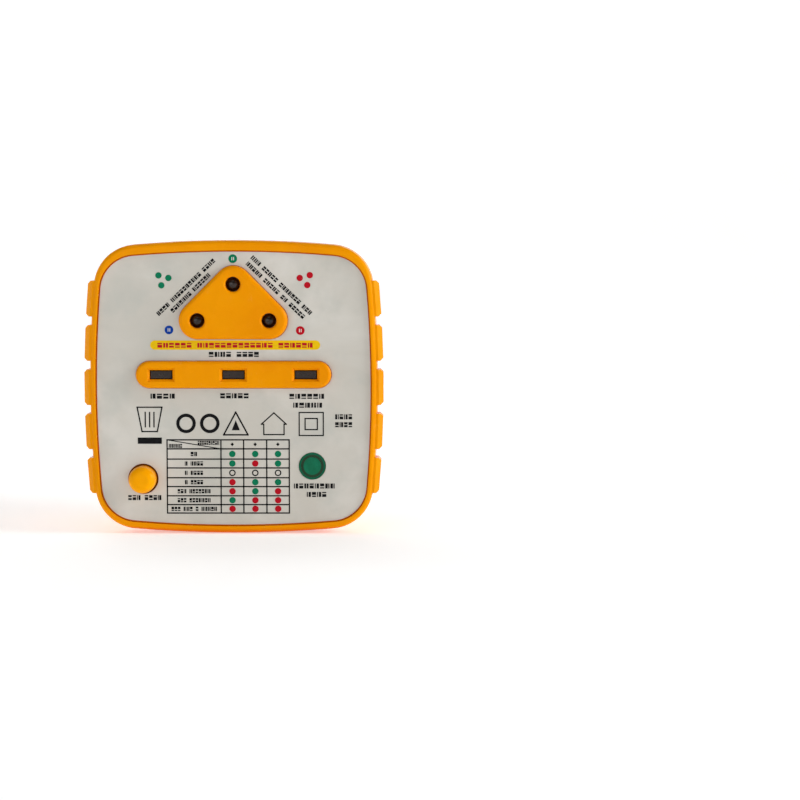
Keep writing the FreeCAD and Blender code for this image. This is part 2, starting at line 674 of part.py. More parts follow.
def make_plug_body():
    """Round plug with two flats, a guide rib on each flat, and a flange that seats in the boss."""
    body = new_body("plug_body")
    barrel = circles(body, "barrel_circle", [("0", "0")], "plug_radius", "0")
    pad(body, "barrel", barrel, "boss_depth + flange_sunk")
    flats = sketch_on(body, "flat_outlines", "boss_depth + flange_sunk")
    for sign in ("", "-"):
        for level in ("", "-"):
            inner, outer = "%splug_flat" % sign, "%splug_radius*1.1" % sign
            near, far = "%splug_rib/2" % level, "%splug_radius*0.8" % level
            polygon(flats, [(inner, near), (outer, near), (outer, far), (inner, far)])
    cut(body, "flats", flats, "boss_depth + flange_sunk")
    round_edges(body, "face_rounding", lambda edge: at_depth(edge, 0), "0.7")
    flange = circles(body, "flange_circle", [("0", "0")], "flange_radius",
                     "boss_depth + flange_sunk")
    pad(body, "flange", flange, "seat_depth - boss_depth - flange_sunk")
    hollow = sketch_on(body, "hollow_outline", "seat_depth")
    inner_round = "plug_flat - plug_wall"
    rise = "plug_radius - plug_flat"
    slot_outline(hollow, [("0", "-plug_radius + plug_flat"), ("0", rise)], inner_round)
    cut(body, "hollow", hollow, "seat_depth - plug_face")

    pins = circles(body, "pin_circles", PIN_PLACES, "collar_hole", "plug_face")
    cut(body, "pin_holes", pins, "plug_face")
    window = sketch_on(body, "window_outline", "plug_face")
    round_rectangle(window, "0", "frame_level", "frame_wide + 2*frame_gap",
                    "frame_tall + 2*frame_gap", "frame_round + 0.5*frame_gap")
    cut(body, "frame_window", window, "plug_face")
    slots = sketch_on(body, "slot_outlines", "plug_face")
    for level, tall in (("14.8", "1.4"), ("0.45", "3.4"), ("-13.8", "5.6")):
        rectangle(slots, "0", level, "contact_slot", tall)
    cut(body, "contact_slots", slots, "plug_face")
    bevel = sketch_on(body, "bevel_outline", plane=YZ)
    polygon(bevel, [("0.2", "15.6"), ("0.2", "18.5"), ("-1.3", "18.5")])
    cut(body, "top_bevel", bevel, "3.6", both_ways=True)
    notch = sketch_on(body, "notch_outline", "3.5")
    rectangle(notch, "0", "-17.5", "3.4", "2.6")
    cut(body, "rim_notch", notch, "3.5")
    side = sketch_on(body, "side_outlines", "0", plane=XY)
    rectangle(side, "0", "-8", "side_window", "2.5*side_window")
    cut(body, "side_windows", side, "2*plug_radius + 2", both_ways=True)
    clamps = circles(body, "insert_screw_circles", INSERT_SCREWS, "insert_screw", "seat_depth")
    cut(body, "insert_screw_pilots", clamps, "insert_pilot")


def make_pin_carrier():
    """White moulding behind the plug's face: it holds the pins and frames the earth hole."""
    body = new_body("pin_carrier")
    plate = sketch_on(body, "plate_outline", "plug_face + carrier_gap")
    slot_outline(plate, [("-pin_pitch/2 + 3", "1"), ("pin_pitch/2 - 3", "1")], "carrier_half")
    pad(body, "plate", plate, "carrier_thick")
    frame = sketch_on(body, "frame_outline", "frame_sunk")
    round_rectangle(frame, "0", "frame_level", "frame_wide", "frame_tall", "frame_round")
    pad(body, "frame", frame, "plug_face + frame_deep")
    collars = circles(body, "collar_circles", PIN_PLACES, "collar_radius", "-collar_proud")
    pad(body, "collars", collars, "plug_face + collar_proud + 2*carrier_gap")
    collar_top = -amount("collar_proud")
    round_edges(body, "collar_rounding", lambda edge: at_depth(edge, collar_top), "collar_proud")
    frame_back = "plug_face + frame_deep + frame_sunk"
    well = sketch_on(body, "well_outline", frame_back)
    round_rectangle(well, "0", "well_level", "well_wide", "well_tall", "frame_round")
    cut(body, "earth_well", well, frame_back)
    relief = sketch_on(body, "strip_relief", frame_back)
    rectangle(relief, "0", "1.2", "strip_wide + 2*frame_gap", "2.6")
    cut(body, "strip_slots", relief, frame_back)
    bores = circles(body, "pin_bores", PIN_PLACES, "pin_shank", "shank_end")
    cut(body, "bores", bores, "shank_end + 2*collar_proud")


def make_pin(label, side):
    """Round plug pin with a rounded tip and a solder tail."""
    body = new_body(label)
    profile = sketch_on(body, "profile", plane=XY)
    polygon(profile, [("0", "-tail_end"), ("tail_radius", "-tail_end"),
                      ("tail_radius", "-shank_end"), ("pin_shank", "-shank_end"),
                      ("pin_shank", "pin_shoulder"), ("pin_radius", "pin_shoulder"),
                      ("pin_radius", "pin_long"), ("0", "pin_long")])
    turn(body, "shaft", profile)
    round_edges(body, "tip_rounding", lambda edge: at_depth(edge, -amount("pin_long")),
                "pin_radius - 0.05")
    bind(body, "Placement.Base.x", side)


def draw_chain(sketch, runs, closed=True):
    """Joined straight lines (two points) and arcs (three points) end to end."""
    ends = []
    for run in runs:
        if len(run) == 2:
            ends.append((sketch.addGeometry(Part.LineSegment(*run), False), 1, 2))
            continue
        first, middle, last = run
        to_middle, to_last = middle - first, last - middle
        clockwise = to_middle.x * to_last.y - to_middle.y * to_last.x < 0
        points = (last, middle, first) if clockwise else run
        item = sketch.addGeometry(Part.Arc(*points), False)
        ends.append((item, 2, 1) if clockwise else (item, 1, 2))
    following = ends[1:] + ends[:1] if closed else ends[1:]
    for (item, _, leave), (other, arrive, _) in zip(ends, following):
        sketch.addConstraint(Sketcher.Constraint("Coincident", item, leave, other, arrive))


def strip_outline(sketch, path, thickness):
    """Edge-on outline of a bent strip; each path point is (across, up, bend radius)."""
    half = thickness / 2
    spots = [Vector(across, up, 0) for across, up, _ in path]
    headings = [(end - start).normalize() for start, end in zip(spots, spots[1:])]
    stops = []
    for side in (1, -1):
        edge = []
        for number, spot in enumerate(spots):
            before, after = headings[max(number - 1, 0)], headings[min(number, len(headings) - 1)]
            if number in (0, len(spots) - 1):
                edge.append([spot + Vector(-before.y, before.x, 0) * half * side])
                continue
            turn_way = 1 if before.x * after.y > before.y * after.x else -1
            radius = path[number][2]
            normal = Vector(-before.y, before.x, 0) * turn_way
            normal_after = Vector(-after.y, after.x, 0) * turn_way
            setback = radius * math.tan(before.getAngle(after) / 2)
            centre = spot - before * setback + normal * radius
            reach = radius - half * side * turn_way
            middle = (normal + normal_after).normalize()
            edge.append([centre - way * reach for way in (normal, middle, normal_after)])
        stops += edge if side == 1 else [stop[::-1] for stop in reversed(edge)]
    runs = []
    for stop, following in zip(stops, stops[1:] + stops[:1]):
        if len(stop) == 3:
            runs.append(tuple(stop))
        runs.append((stop[-1], following[0]))
    draw_chain(sketch, runs)


# Middle lines of the bent strips: (across, up, bend radius) for each corner.
TOP_STRIP = [(-2.9, 14.95, 0), (-0.35, 14.95, 0.9), (-0.35, 1.0, 0.9), (-9.0, 0.75, 0)]
TOP_LEAF = [(-12.6, 14.6, 0), (-10.5, 15.0, 2), (-7.5, 16.4, 2.5), (-4.5, 14.95, 2),
            (-2.0, 14.95, 0)]
CAGE_HALF = [(2.9, -0.95, 0), (4.25, -0.95, 0.4), (4.2, -3.2, 1.5), (3.02, -5.4, 1.5),
             (3.6, -10.2, 0.8)]
BOTTOM_ROLL = [(-4.0, -15.2, 0), (-1.9, -15.2, 0.6), (-0.95, -14.5, 0.6), (-1.75, -13.75, 0.6),
               (-0.95, -13.0, 0.6), (-2.0, -12.25, 0.6), (-8.0, -12.2, 0)]
BOTTOM_LEAF = [(-12.6, -14.6, 0), (-10.3, -15.0, 2), (-7.5, -16.4, 2.5), (-4.8, -15.2, 2),
               (-3.0, -15.2, 0)]


def bent_strip(body, name, path, thickness, wide, plane=YZ, depth="0"):
    """A strip of the stated width whose edge-on outline follows the path."""
    profile = sketch_on(body, name + "_profile", depth, plane=plane)
    strip_outline(profile, path, amount(thickness))
    pad(body, name, profile, wide, both_ways=True)


def make_earth_strip():
    """Top earth contact: side leaf, bend over the rim of the frame, ring, and tail."""
    body = new_body("earth_strip")
    bent_strip(body, "strip", TOP_STRIP, "strip_thick", "strip_wide")
    bent_strip(body, "side_leaf", TOP_LEAF, "strip_thick", "leaf_wide")
    ring = circles(body, "ring_circle", [("0", "earth_level")], "earth_hole + ring_rim",
                   "ring_sunk")
    pad(body, "ring", ring, "strip_thick")
    hole = circles(body, "hole_circle", [("0", "earth_level")], "earth_hole", "2")
    cut(body, "hole", hole, "3")


def make_earth_socket_spring():
    """Sprung cage behind the ring that grips the earth pin of a pin-earthed socket."""
    body = new_body("earth_socket_spring")
    mirrored = [(-across, along, bend) for across, along, bend in reversed(CAGE_HALF)]
    bent_strip(body, "cage", CAGE_HALF + mirrored, "cage_thick", "cage_tall", XY, "cage_level")
    passage = circles(body, "passage_circle", [("0", "cage_level")], "pin_passage", "11")
    cut(body, "passage", passage, "2")


def make_earth_bottom():
    """Bottom earth contact: a leaf rolled into two ridges, with a tongue in the rim notch."""
    body = new_body("earth_bottom_contact")
    bent_strip(body, "roll", BOTTOM_ROLL, "bottom_thick", "strip_wide")
    bent_strip(body, "side_leaf", BOTTOM_LEAF, "strip_thick", "leaf_wide")
    tongue = sketch_on(body, "tongue_outline", "0.85")
    slot_outline(tongue, [("-0.4", "-15.3"), ("0.4", "-15.3")], "1.3")
    pad(body, "tongue", tongue, "strip_thick")


# ---- lamps, button and touch pad -----------------------------------------------------------

def turned(label, corners, across="0", up="0"):
    """A body turned about its own Y axis, placed at (across, up)."""
    body = new_body(label)
    profile = sketch_on(body, "profile", plane=XY)
    polygon(profile, corners)
    turn(body, "turned", profile)
    bind(body, "Placement.Base.x", across)
    bind(body, "Placement.Base.z", up)
    return body


def lamp_legs(body):
    """Two square legs from the lamp's base down to the board."""
    legs = sketch_on(body, "leg_outlines", "lamp_base")
    for side in ("-lamp_pitch/2", "lamp_pitch/2"):
        rectangle(legs, side, "0", "lamp_leg", "lamp_leg")
    pad(body, "legs", legs, "lamp_base - board_front", towards_pins=True)


def make_lamps():
    for label, (across, up) in LAMP_PLACES.items():
        lamp = turned(label, [("0", "-lamp_base"), ("lamp_radius + lamp_flange", "-lamp_base"),
                              ("lamp_radius + lamp_flange", "-lamp_base - 1"),
                              ("lamp_radius", "-lamp_base - 1"), ("lamp_radius", "-lamp_tip"),
                              ("0", "-lamp_tip")], across, up)
        round_edges(lamp, "dome", lambda edge: at_depth(edge, amount("lamp_tip")),
                    "lamp_radius - 0.1")
        lamp_legs(lamp)
    for label, across in OBLONG_PLACES.items():
        lamp = new_body(label)
        lens = sketch_on(lamp, "lens_outline", "lamp_base")
        rectangle(lens, "0", "0", "oblong_wide", "oblong_tall")
        pad(lamp, "lens", lens, "oblong_tip - lamp_base")
        round_edges(lamp, "lens_edges",
                    lambda edge: at_depth(edge, amount("oblong_tip")), "0.15")
        lamp_legs(lamp)
        bind(lamp, "Placement.Base.x", across)
        bind(lamp, "Placement.Base.z", "bar_level")


def make_button():
    """Cap, switch stem, return spring and switch body of the sprung test button."""
    place = ("button_side", "button_level")
    cap = turned("test_button", [
        ("stem_radius", "-spring_seat"), ("cap_radius - cap_wall", "-spring_seat"),
        ("cap_radius - cap_wall", "-flange_low"), ("cap_flange", "-flange_low"),
        ("cap_flange", "-flange_high"), ("cap_radius", "-flange_high"),
        ("cap_radius", "-cap_top"), ("0", "-cap_top"), ("0", "-stem_top"),
        ("stem_radius", "-stem_top"),
    ], *place)
    round_edges(cap, "cap_rounding", lambda edge: at_depth(edge, amount("cap_top")), "cap_dome")
    stem = turned("switch_stem", [("0", "-stem_foot"), ("stem_radius", "-stem_foot"),
                                  ("stem_radius", "-stem_top"), ("0", "-stem_top")], *place)
    foot = amount("stem_foot")
    round_edges(stem, "foot_chamfer", lambda edge: at_depth(edge, foot), "0.25", kind="Chamfer")

    spring = new_body("button_spring")
    wire = sketch_on(spring, "wire", plane=XY)
    circle(wire, "spring_radius", "-board_front - switch_height - 0.2", "spring_wire/2")
    coil = add_feature(spring, "AdditiveHelix", "coil", wire)
    coil.ReferenceAxis = (wire, ["V_Axis"])
    coil.Mode = 0
    bind(coil, "Pitch", "spring_pitch")
    bind(coil, "Height", "spring_long")
    coil.Reversed = True
    finish_feature(spring, coil)
    bind(spring, "Placement.Base.x", place[0])
    bind(spring, "Placement.Base.z", place[1])

    switch = new_body("switch_body")
    case = sketch_on(switch, "case_outline", "board_front")
    rectangle(case, "0", "0", "switch_size", "switch_size")
    pad(switch, "case", case, "switch_height")
    round_edges(switch, "case_corners", lambda edge: edge.BoundBox.YLength > 3, "0.5")
    bore = circles(switch, "bore_circle", [("0", "0")], "stem_radius + 0.15",
                   "board_front + switch_height")
    cut(switch, "bore", bore, "switch_height - 0.4")
    bind(switch, "Placement.Base.x", place[0])
    bind(switch, "Placement.Base.z", place[1])


def make_touch_pad():
    turned("touch_pad", [
        ("0", "-touch_tail"), ("touch_stem", "-touch_tail"), ("touch_stem", "-panel_depth"),
        ("touch_radius", "-panel_depth"), ("touch_radius", "-touch_top"),
        ("groove_outer", "-touch_top"), ("groove_outer", "-touch_top + groove_deep"),
        ("groove_inner", "-touch_top + groove_deep"), ("groove_inner", "-touch_top"),
        ("0", "-touch_top")], "touch_side", "touch_level")
    turned("touch_contact", [
        ("0", "-board_front"), ("contact_foot", "-board_front"),
        ("contact_foot", "-board_front - 0.6"), ("contact_radius", "-board_front - 0.6"),
        ("contact_radius", "-touch_tail"), ("0", "-touch_tail")], "touch_side", "touch_level")


# ---- board and what is soldered to it ------------------------------------------------------

def block(label, across, up, depth, wide, tall, deep, rounding="0.3", towards_pins=False):
    """A moulded case on the board, with its upright edges rounded."""
    body = new_body(label)
    outline = sketch_on(body, "outline", depth)
    rectangle(outline, across, up, wide, tall)
    pad(body, "case", outline, deep, towards_pins=towards_pins)
    half = amount(deep) * 0.9
    round_edges(body, "case_edges", lambda edge: edge.BoundBox.YLength > half, rounding)
    return body


def make_board():
    body = new_body("main_board")
    outline = sketch_on(body, "outline", "board_front - board_thick")
    low, high = "-board_low", "board_high"
    polygon(outline, [("-board_wide + board_trim", low), ("board_wide - board_trim", low),
                      ("board_wide", "-board_low + board_trim"), ("board_wide", "board_shoulder"),
                      ("board_wide/2", high), ("-board_wide/2", high),
                      ("-board_wide", "board_shoulder"),
                      ("-board_wide", "-board_low + board_trim")])
    pad(body, "sheet", outline, "board_thick")
    holes = circles(body, "screw_holes", BOARD_SCREW_PLACES, "1.2", "board_front")
    cut(body, "holes", holes, "board_thick")


def make_front_side_parts():
    chip = block("microcontroller", "0", "-15.5", "board_front + 0.1", "10.3", "7.5", "2.3")
    legs = sketch_on(chip, "leg_outlines", "board_front")
    for number in range(8):
        rectangle(legs, "%g" % (-4.445 + 1.27 * number), "-15.5", "0.42", "9.8")
    pad(chip, "legs", legs, "0.9")
    for number, level in enumerate(("-2.6", "-5.5", "-8.4")):
        body = new_body("dropper_resistor_%d" % (number + 1))
        profile = sketch_on(body, "profile", "0", plane=XY)
        polygon(profile, [("0", "-3.2"), ("1.2", "-3.2"), ("1.2", "-1.9"), ("1.05", "-1.6"),
                          ("1.05", "1.6"), ("1.2", "1.9"), ("1.2", "3.2"), ("0", "3.2")])
        turn(body, "barrel", profile)
        wires = sketch_on(body, "lead_circle", "-6.2")
        circle(wires, "0", "0", "0.3")
        pad(body, "leads", wires, "12.4")
        spot = Vector(0, -amount("board_front") - 1.3, amount(level))
        body.Placement = FreeCAD.Placement(spot, FreeCAD.Rotation(Vector(0, 0, 1), 90))


BACK_BLOCKS = [  # label, place across and up, width, height, depth, rounding
    ("mains_capacitor", "-14.5", "8", "13", "6", "9.5", "0.6"),
    ("load_resistor", "8", "16.5", "20", "6", "6", "0.4"),
    ("bridge_rectifier", "-1", "-15.5", "6.5", "5", "2.6", "0.3"),
    ("test_triac", "15.5", "6", "10", "4.6", "8", "0.4"),
]


def make_back_side_parts():
    back = "board_front - board_thick"
    for label, across, up, wide, tall, deep, rounding in BACK_BLOCKS:
        block(label, across, up, back, wide, tall, deep, rounding, towards_pins=True)
    buzzer = new_body("buzzer")
    can = circles(buzzer, "can_circle", [("-14", "-12")], "4.8", back)
    pad(buzzer, "can", can, "5.5", towards_pins=True)
    sound = circles(buzzer, "sound_circle", [("-14", "-12")], "0.9", "32.1")
    cut(buzzer, "sound_hole", sound, "2", towards_label=True)
    capacitor = new_body("smoothing_capacitor")
    can = circles(capacitor, "can_circle", [("16.5", "-9")], "3.15", back)
    pad(capacitor, "can", can, "9", towards_pins=True)
    round_edges(capacitor, "can_rounding", lambda edge: at_depth(edge, 28.6), "0.4")
    varistor = new_body("varistor")
    disc = sketch_on(varistor, "disc_outline", "5.5", plane=YZ)
    circle(disc, "-32.8", "-13.5", "3.9")
    pad(varistor, "disc", disc, "2.8")
    round_edges(varistor, "disc_rounding", lambda edge: edge.Length > 20, "1.0")
    feet = sketch_on(varistor, "leg_outlines", "34")
    for level in ("-15.5", "-11.5"):
        rectangle(feet, "6.9", level, "0.6", "0.6")
    pad(varistor, "legs", feet, "3.6")
    fuse = new_body("fuse")
    for name, radius, start, length in (("tube", "1.7", "0", "9"), ("cap_low", "1.85", "0", "2"),
                                        ("cap_high", "1.85", "7", "2")):
        ring = circles(fuse, name + "_circle", [("0", "0")], radius, start)
        pad(fuse, name, ring, length)
    fuse.Placement = FreeCAD.Placement(Vector(-6, -amount(back) + 1.85, -4),
                                       FreeCAD.Rotation(Vector(0, 0, 1), -90))


def make_lead(label, plane, start, end):
    """An insulated lead with two equal opposite bends; start and end are (across, depth)."""
    body = new_body(label)
    (across, depth), (target, board) = start, end
    way = 1 if target > across else -1
    swing = math.acos(1 - abs(target - across) / (2 * LEAD_BEND))
    straight = (board - depth - 2 * LEAD_BEND * math.sin(swing)) / 2

    def spot(shift, along):
        """A point of the lead's middle line: shift sideways, along from the start."""
        if plane == YZ:
            return Vector(-depth - along, across + way * shift, 0)
        return Vector(across + way * shift, -depth - along, 0)

    def bend(turned):
        return LEAD_BEND * (1 - math.cos(turned)), LEAD_BEND * math.sin(turned)

    half_shift, half_along = bend(swing / 2)
    full_shift, full_along = bend(swing)
    whole_shift, whole_along = 2 * full_shift, 2 * full_along
    spots = [spot(0, 0), spot(0, straight), spot(half_shift, straight + half_along),
             spot(full_shift, straight + full_along),
             spot(whole_shift - half_shift, straight + whole_along - half_along),
             spot(whole_shift, straight + whole_along), spot(whole_shift, board - depth)]
    spine = sketch_on(body, "spine", plane=plane)
    draw_chain(spine, [tuple(spots[0:2]), tuple(spots[1:4]), tuple(spots[3:6]),
                       tuple(spots[5:7])], closed=False)
    profile = sketch_on(body, "profile", "%g" % depth)
    place = ("0", "%g" % across) if plane == YZ else ("%g" % across, "0")
    circle(profile, *place, "lead_radius")
    pipe = add_feature(body, "AdditivePipe", "insulation", profile)
    pipe.Spine = (spine, [])
    spine.Visibility = False
    finish_feature(body, pipe)


def make_screws(label, places, seat, head_radius, head_high, shank_radius, shank_long,
                head_towards_label=True):
    """A group of identical cross-head screws."""
    body = new_body(label, separate_solids=True)
    heads = circles(body, "head_circles", places, head_radius, seat)
    pad(body, "heads", heads, head_high, towards_pins=not head_towards_label)
    shanks = circles(body, "shank_circles", places, shank_radius, seat)
    pad(body, "shanks", shanks, shank_long, towards_pins=head_towards_label)
    top = "%s + %s" % (seat, head_high) if head_towards_label else "%s - %s" % (seat, head_high)
    for name, wide, tall in (("slot_one", "1.9", "0.45"), ("slot_two", "0.45", "1.9")):
        cross = sketch_on(body, name, top)
        for across, up in places:
            rectangle(cross, across, up, wide, tall)
        cut(body, name + "_cut", cross, "0.8", towards_label=not head_towards_label)


make_front_shell()
make_front_label()
make_rear_shell()
make_plug_body()
make_pin_carrier()
make_pin("neutral_pin", "-pin_pitch/2")
make_pin("live_pin", "pin_pitch/2")
make_earth_strip()
make_earth_socket_spring()
make_earth_bottom()
make_lamps()
make_button()
make_touch_pad()
make_board()
make_front_side_parts()
make_back_side_parts()
make_lead("neutral_lead", XY, (-9.5, 10.5), (-6.0, 37.6))
make_lead("live_lead", XY, (9.5, 10.5), (6.0, 37.6))
make_lead("earth_lead", YZ, (0.75, 9.0), (-7.5, 37.6))
make_screws("shell_screws", SCREW_PLACES, "panel_depth - head_sunk", "screw_head", "1.4",
            "shell_screw", "7.2")
make_screws("board_screws", BOARD_SCREW_PLACES, "board_front - board_thick", "1.8", "1.3",
            "board_screw", "5.5", head_towards_label=False)
make_screws("insert_screws", INSERT_SCREWS, "boss_floor", "insert_screw_head", "1.3",
            "insert_screw", "3.1")

for part in PARTS:
    shape = part.Shape
    if "Invalid" in part.State or "Error" in part.State or shape.isNull() or not shape.isValid():
        raise ValueError("%s is not sound: %s" % (part.Label, part.State))

os.makedirs("parts", exist_ok=True)
for part in PARTS:
    part.Shape.exportStep("parts/%s.step" % part.Label)
    box = part.Shape.BoundBox
    print("%-22s solids %d volume %8.1f  X %6.2f..%6.2f  Y %6.2f..%6.2f  Z %6.2f..%6.2f" % (
        part.Label, len(part.Shape.Solids), part.Shape.Volume, box.XMin, box.XMax, box.YMin,
        box.YMax, box.ZMin, box.ZMax))
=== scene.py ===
import json
import math
import random

import bmesh
import bpy
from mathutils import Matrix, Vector


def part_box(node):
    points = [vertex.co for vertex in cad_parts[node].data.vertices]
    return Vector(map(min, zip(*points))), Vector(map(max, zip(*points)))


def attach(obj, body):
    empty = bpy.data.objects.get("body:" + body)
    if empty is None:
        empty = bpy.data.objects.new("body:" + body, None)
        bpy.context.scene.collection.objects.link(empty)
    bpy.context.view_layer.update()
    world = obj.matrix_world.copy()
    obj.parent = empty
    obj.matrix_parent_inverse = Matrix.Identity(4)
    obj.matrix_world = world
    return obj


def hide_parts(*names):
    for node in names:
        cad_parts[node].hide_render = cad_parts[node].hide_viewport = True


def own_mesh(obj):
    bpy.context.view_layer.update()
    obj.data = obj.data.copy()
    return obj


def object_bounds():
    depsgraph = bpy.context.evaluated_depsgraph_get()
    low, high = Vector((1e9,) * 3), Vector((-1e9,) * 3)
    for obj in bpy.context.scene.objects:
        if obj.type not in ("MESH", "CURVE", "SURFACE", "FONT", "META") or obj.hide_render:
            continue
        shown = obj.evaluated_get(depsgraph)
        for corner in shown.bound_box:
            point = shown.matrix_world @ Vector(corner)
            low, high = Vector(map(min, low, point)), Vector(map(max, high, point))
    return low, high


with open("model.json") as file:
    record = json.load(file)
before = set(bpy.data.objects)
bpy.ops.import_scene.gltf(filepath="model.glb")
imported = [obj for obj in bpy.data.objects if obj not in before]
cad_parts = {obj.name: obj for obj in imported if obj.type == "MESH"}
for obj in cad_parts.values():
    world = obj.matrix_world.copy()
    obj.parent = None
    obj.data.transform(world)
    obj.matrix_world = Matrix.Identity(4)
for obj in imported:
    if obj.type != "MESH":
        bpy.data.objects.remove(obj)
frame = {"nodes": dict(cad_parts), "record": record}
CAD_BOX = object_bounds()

MM = 0.001
WHITE = (1.0, 1.0, 1.0, 1.0)
NODES = frame["nodes"]
FLOOR = CAD_BOX[0].z                            # the object stands on its lower edge
LABEL_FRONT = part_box("front_label")[0].y / MM   # the printed sheet's outer face, mm
random.seed(7)


def middle(node):
    """Middle of a CAD node's box, in metres."""
    low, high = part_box(node)
    return (low + high) / 2


def add_mesh(shape, name, material, smooth=False):
    """Puts a finished bmesh in the scene as an object with one material."""
    data = bpy.data.meshes.new(name)
    shape.to_mesh(data)
    shape.free()
    data.polygons.foreach_set("use_smooth", [smooth] * len(data.polygons))
    data.materials.append(material)
    piece = bpy.data.objects.new(name, data)
    bpy.context.scene.collection.objects.link(piece)
    return piece


# ---- node shorthand ------------------------------------------------------------------------

class Look:
    """One procedural material, built from named shader nodes in object space."""

    def __init__(self, name):
        self.material = bpy.data.materials.new(name)
        self.material.use_nodes = True
        self.tree = self.material.node_tree
        self.shader = self.tree.nodes["Principled BSDF"]
        self.place = self.tree.nodes.new("ShaderNodeTexCoord").outputs["Object"]

    def put(self, kind, inputs=(), **settings):
        """Adds one shader node, with values or links for its inputs."""
        node = self.tree.nodes.new("ShaderNode" + kind)
        for key, value in settings.items():
            setattr(node, key, value)
        for key, value in dict(inputs).items():
            self.feed(node.inputs[key], value)
        return node

    def feed(self, socket, value):
        if isinstance(value, bpy.types.NodeSocket):
            self.tree.links.new(value, socket)
        else:
            socket.default_value = value

    def stretched(self, stretch, turn=(0, 0, 0)):
        node = self.put("Mapping", {"Vector": self.place, "Scale": stretch, "Rotation": turn})
        return node.outputs["Vector"]

    def noise(self, scale, detail=2.0, rough=0.5, vector=None, warp=0.0):
        node = self.put("TexNoise", {
            "Vector": vector or self.place, "Scale": scale, "Detail": detail,
            "Roughness": rough, "Distortion": warp})
        return node.outputs["Fac"]

    def cells(self, scale, vector=None):
        node = self.put("TexVoronoi", {"Vector": vector or self.place, "Scale": scale})
        return node.outputs["Distance"]

    def ramp(self, value, low, high, start=0.0, end=1.0):
        """Smooth step: start below low, end above high."""
        node = self.put("MapRange", {
            "Value": value, "From Min": low, "From Max": high, "To Min": start, "To Max": end})
        node.interpolation_type = "SMOOTHSTEP"
        return node.outputs["Result"]

    def sum(self, operation, a, b):
        node = self.put("Math", operation=operation)
        self.feed(node.inputs[0], a)
        self.feed(node.inputs[1], b)
        return node.outputs[0]

    def blend(self, share, a, b):
        node = self.put("Mix", data_type="RGBA")
        self.feed(node.inputs[0], share)
        self.feed(node.inputs[6], a)
        self.feed(node.inputs[7], b)
        return node.outputs[2]

    def bump(self, height, distance, strength=1.0, normal=None):
        node = self.put("Bump", {"Height": height, "Distance": distance, "Strength": strength})
        if normal:
            self.feed(node.inputs["Normal"], normal)
        return node.outputs["Normal"]

    def soft_edges(self, radius):
        return self.put("Bevel", {"Radius": radius}, samples=4).outputs["Normal"]

    def crevices(self, distance):
        return self.put("AmbientOcclusion", {"Distance": distance}, samples=6).outputs["AO"]

    def set(self, **values):
        """Feeds the surface shader and hands back the finished material."""
        names = {"colour": "Base Color", "rough": "Roughness", "metal": "Metallic",
                 "normal": "Normal", "coat": "Coat Weight", "coat_rough": "Coat Roughness",
                 "specular": "Specular IOR Level", "tint": "Specular Tint", "ior": "IOR",
                 "see_through": "Transmission Weight", "scatter": "Subsurface Weight",
                 "reach": "Subsurface Radius", "reach_scale": "Subsurface Scale",
                 "glow": "Emission Color", "glow_strength": "Emission Strength"}
        for key, value in values.items():
            self.feed(self.shader.inputs[names[key]], value)
        return self.material


def rgb(red, green, blue):
    """A colour given as 0-255 screen values, as linear light."""
    def linear(value):
        value /= 255.0
        return value / 12.92 if value <= 0.04045 else ((value + 0.055) / 1.055) ** 2.4
    return (linear(red), linear(green), linear(blue), 1.0)


# ---- materials -----------------------------------------------------------------------------

def moulded(name, colour, deep, rough, edge=0.00012, corner=None, crevice_shade=0.55, scatter=0.0,
            tint=WHITE):
    """Injection-moulded plastic: clouded tone, fine grain, dull scuffs, and painted shade that
    darkens the corners and crevices.
    """
    look = Look(name)
    cloud = look.noise(55, 4, 0.6)
    tone = look.blend(look.ramp(cloud, 0.35, 0.72), colour, deep)
    # painted shade: ambient occlusion darkens crevices and corners towards the corner colour,
    # else towards a darker copy of the base
    crevice_shade_mask = look.sum("MULTIPLY", look.ramp(look.crevices(0.0022), 0.35, 0.95, 1.0, 0.0), crevice_shade)
    shade = tuple(0.42 * channel for channel in colour[:3]) + (1.0,)
    tone = look.blend(crevice_shade_mask, tone, corner or shade)
    streaks = look.noise(1.0, 3, 0.65, look.stretched((2600, 2600, 260), (0.3, 0.2, 0.6)))
    scuffs = look.ramp(look.noise(420, 5, 0.7), 0.56, 0.74)
    scuffs = look.sum("MULTIPLY", scuffs, look.ramp(streaks, 0.5, 0.66))
    pale = tuple(min(1.0, 0.8 * channel + 0.16) for channel in colour[:3]) + (1.0,)
    tone = look.blend(look.sum("MULTIPLY", scuffs, 0.22), tone, pale)
    dull = look.ramp(look.noise(160, 4, 0.6), 0.3, 0.75, rough - 0.05, rough + 0.09)
    dull = look.sum("ADD", dull, look.sum("MULTIPLY", scuffs, 0.16))
    pits = look.noise(5200, 2, 0.6)
    sinks = look.noise(95, 2, 0.5)
    height = look.sum("ADD", look.sum("MULTIPLY", pits, 0.5),
                      look.sum("MULTIPLY", sinks, 1.6))
    height = look.sum("SUBTRACT", height, look.sum("MULTIPLY", scuffs, 0.6))
    normal = look.bump(height, 0.000018, 0.8, look.soft_edges(edge) if edge else None)
    return look.set(colour=tone, rough=dull, normal=normal, specular=0.19, tint=tint,
                    scatter=scatter, reach=(1.0, 0.35, 0.05), reach_scale=0.0009)


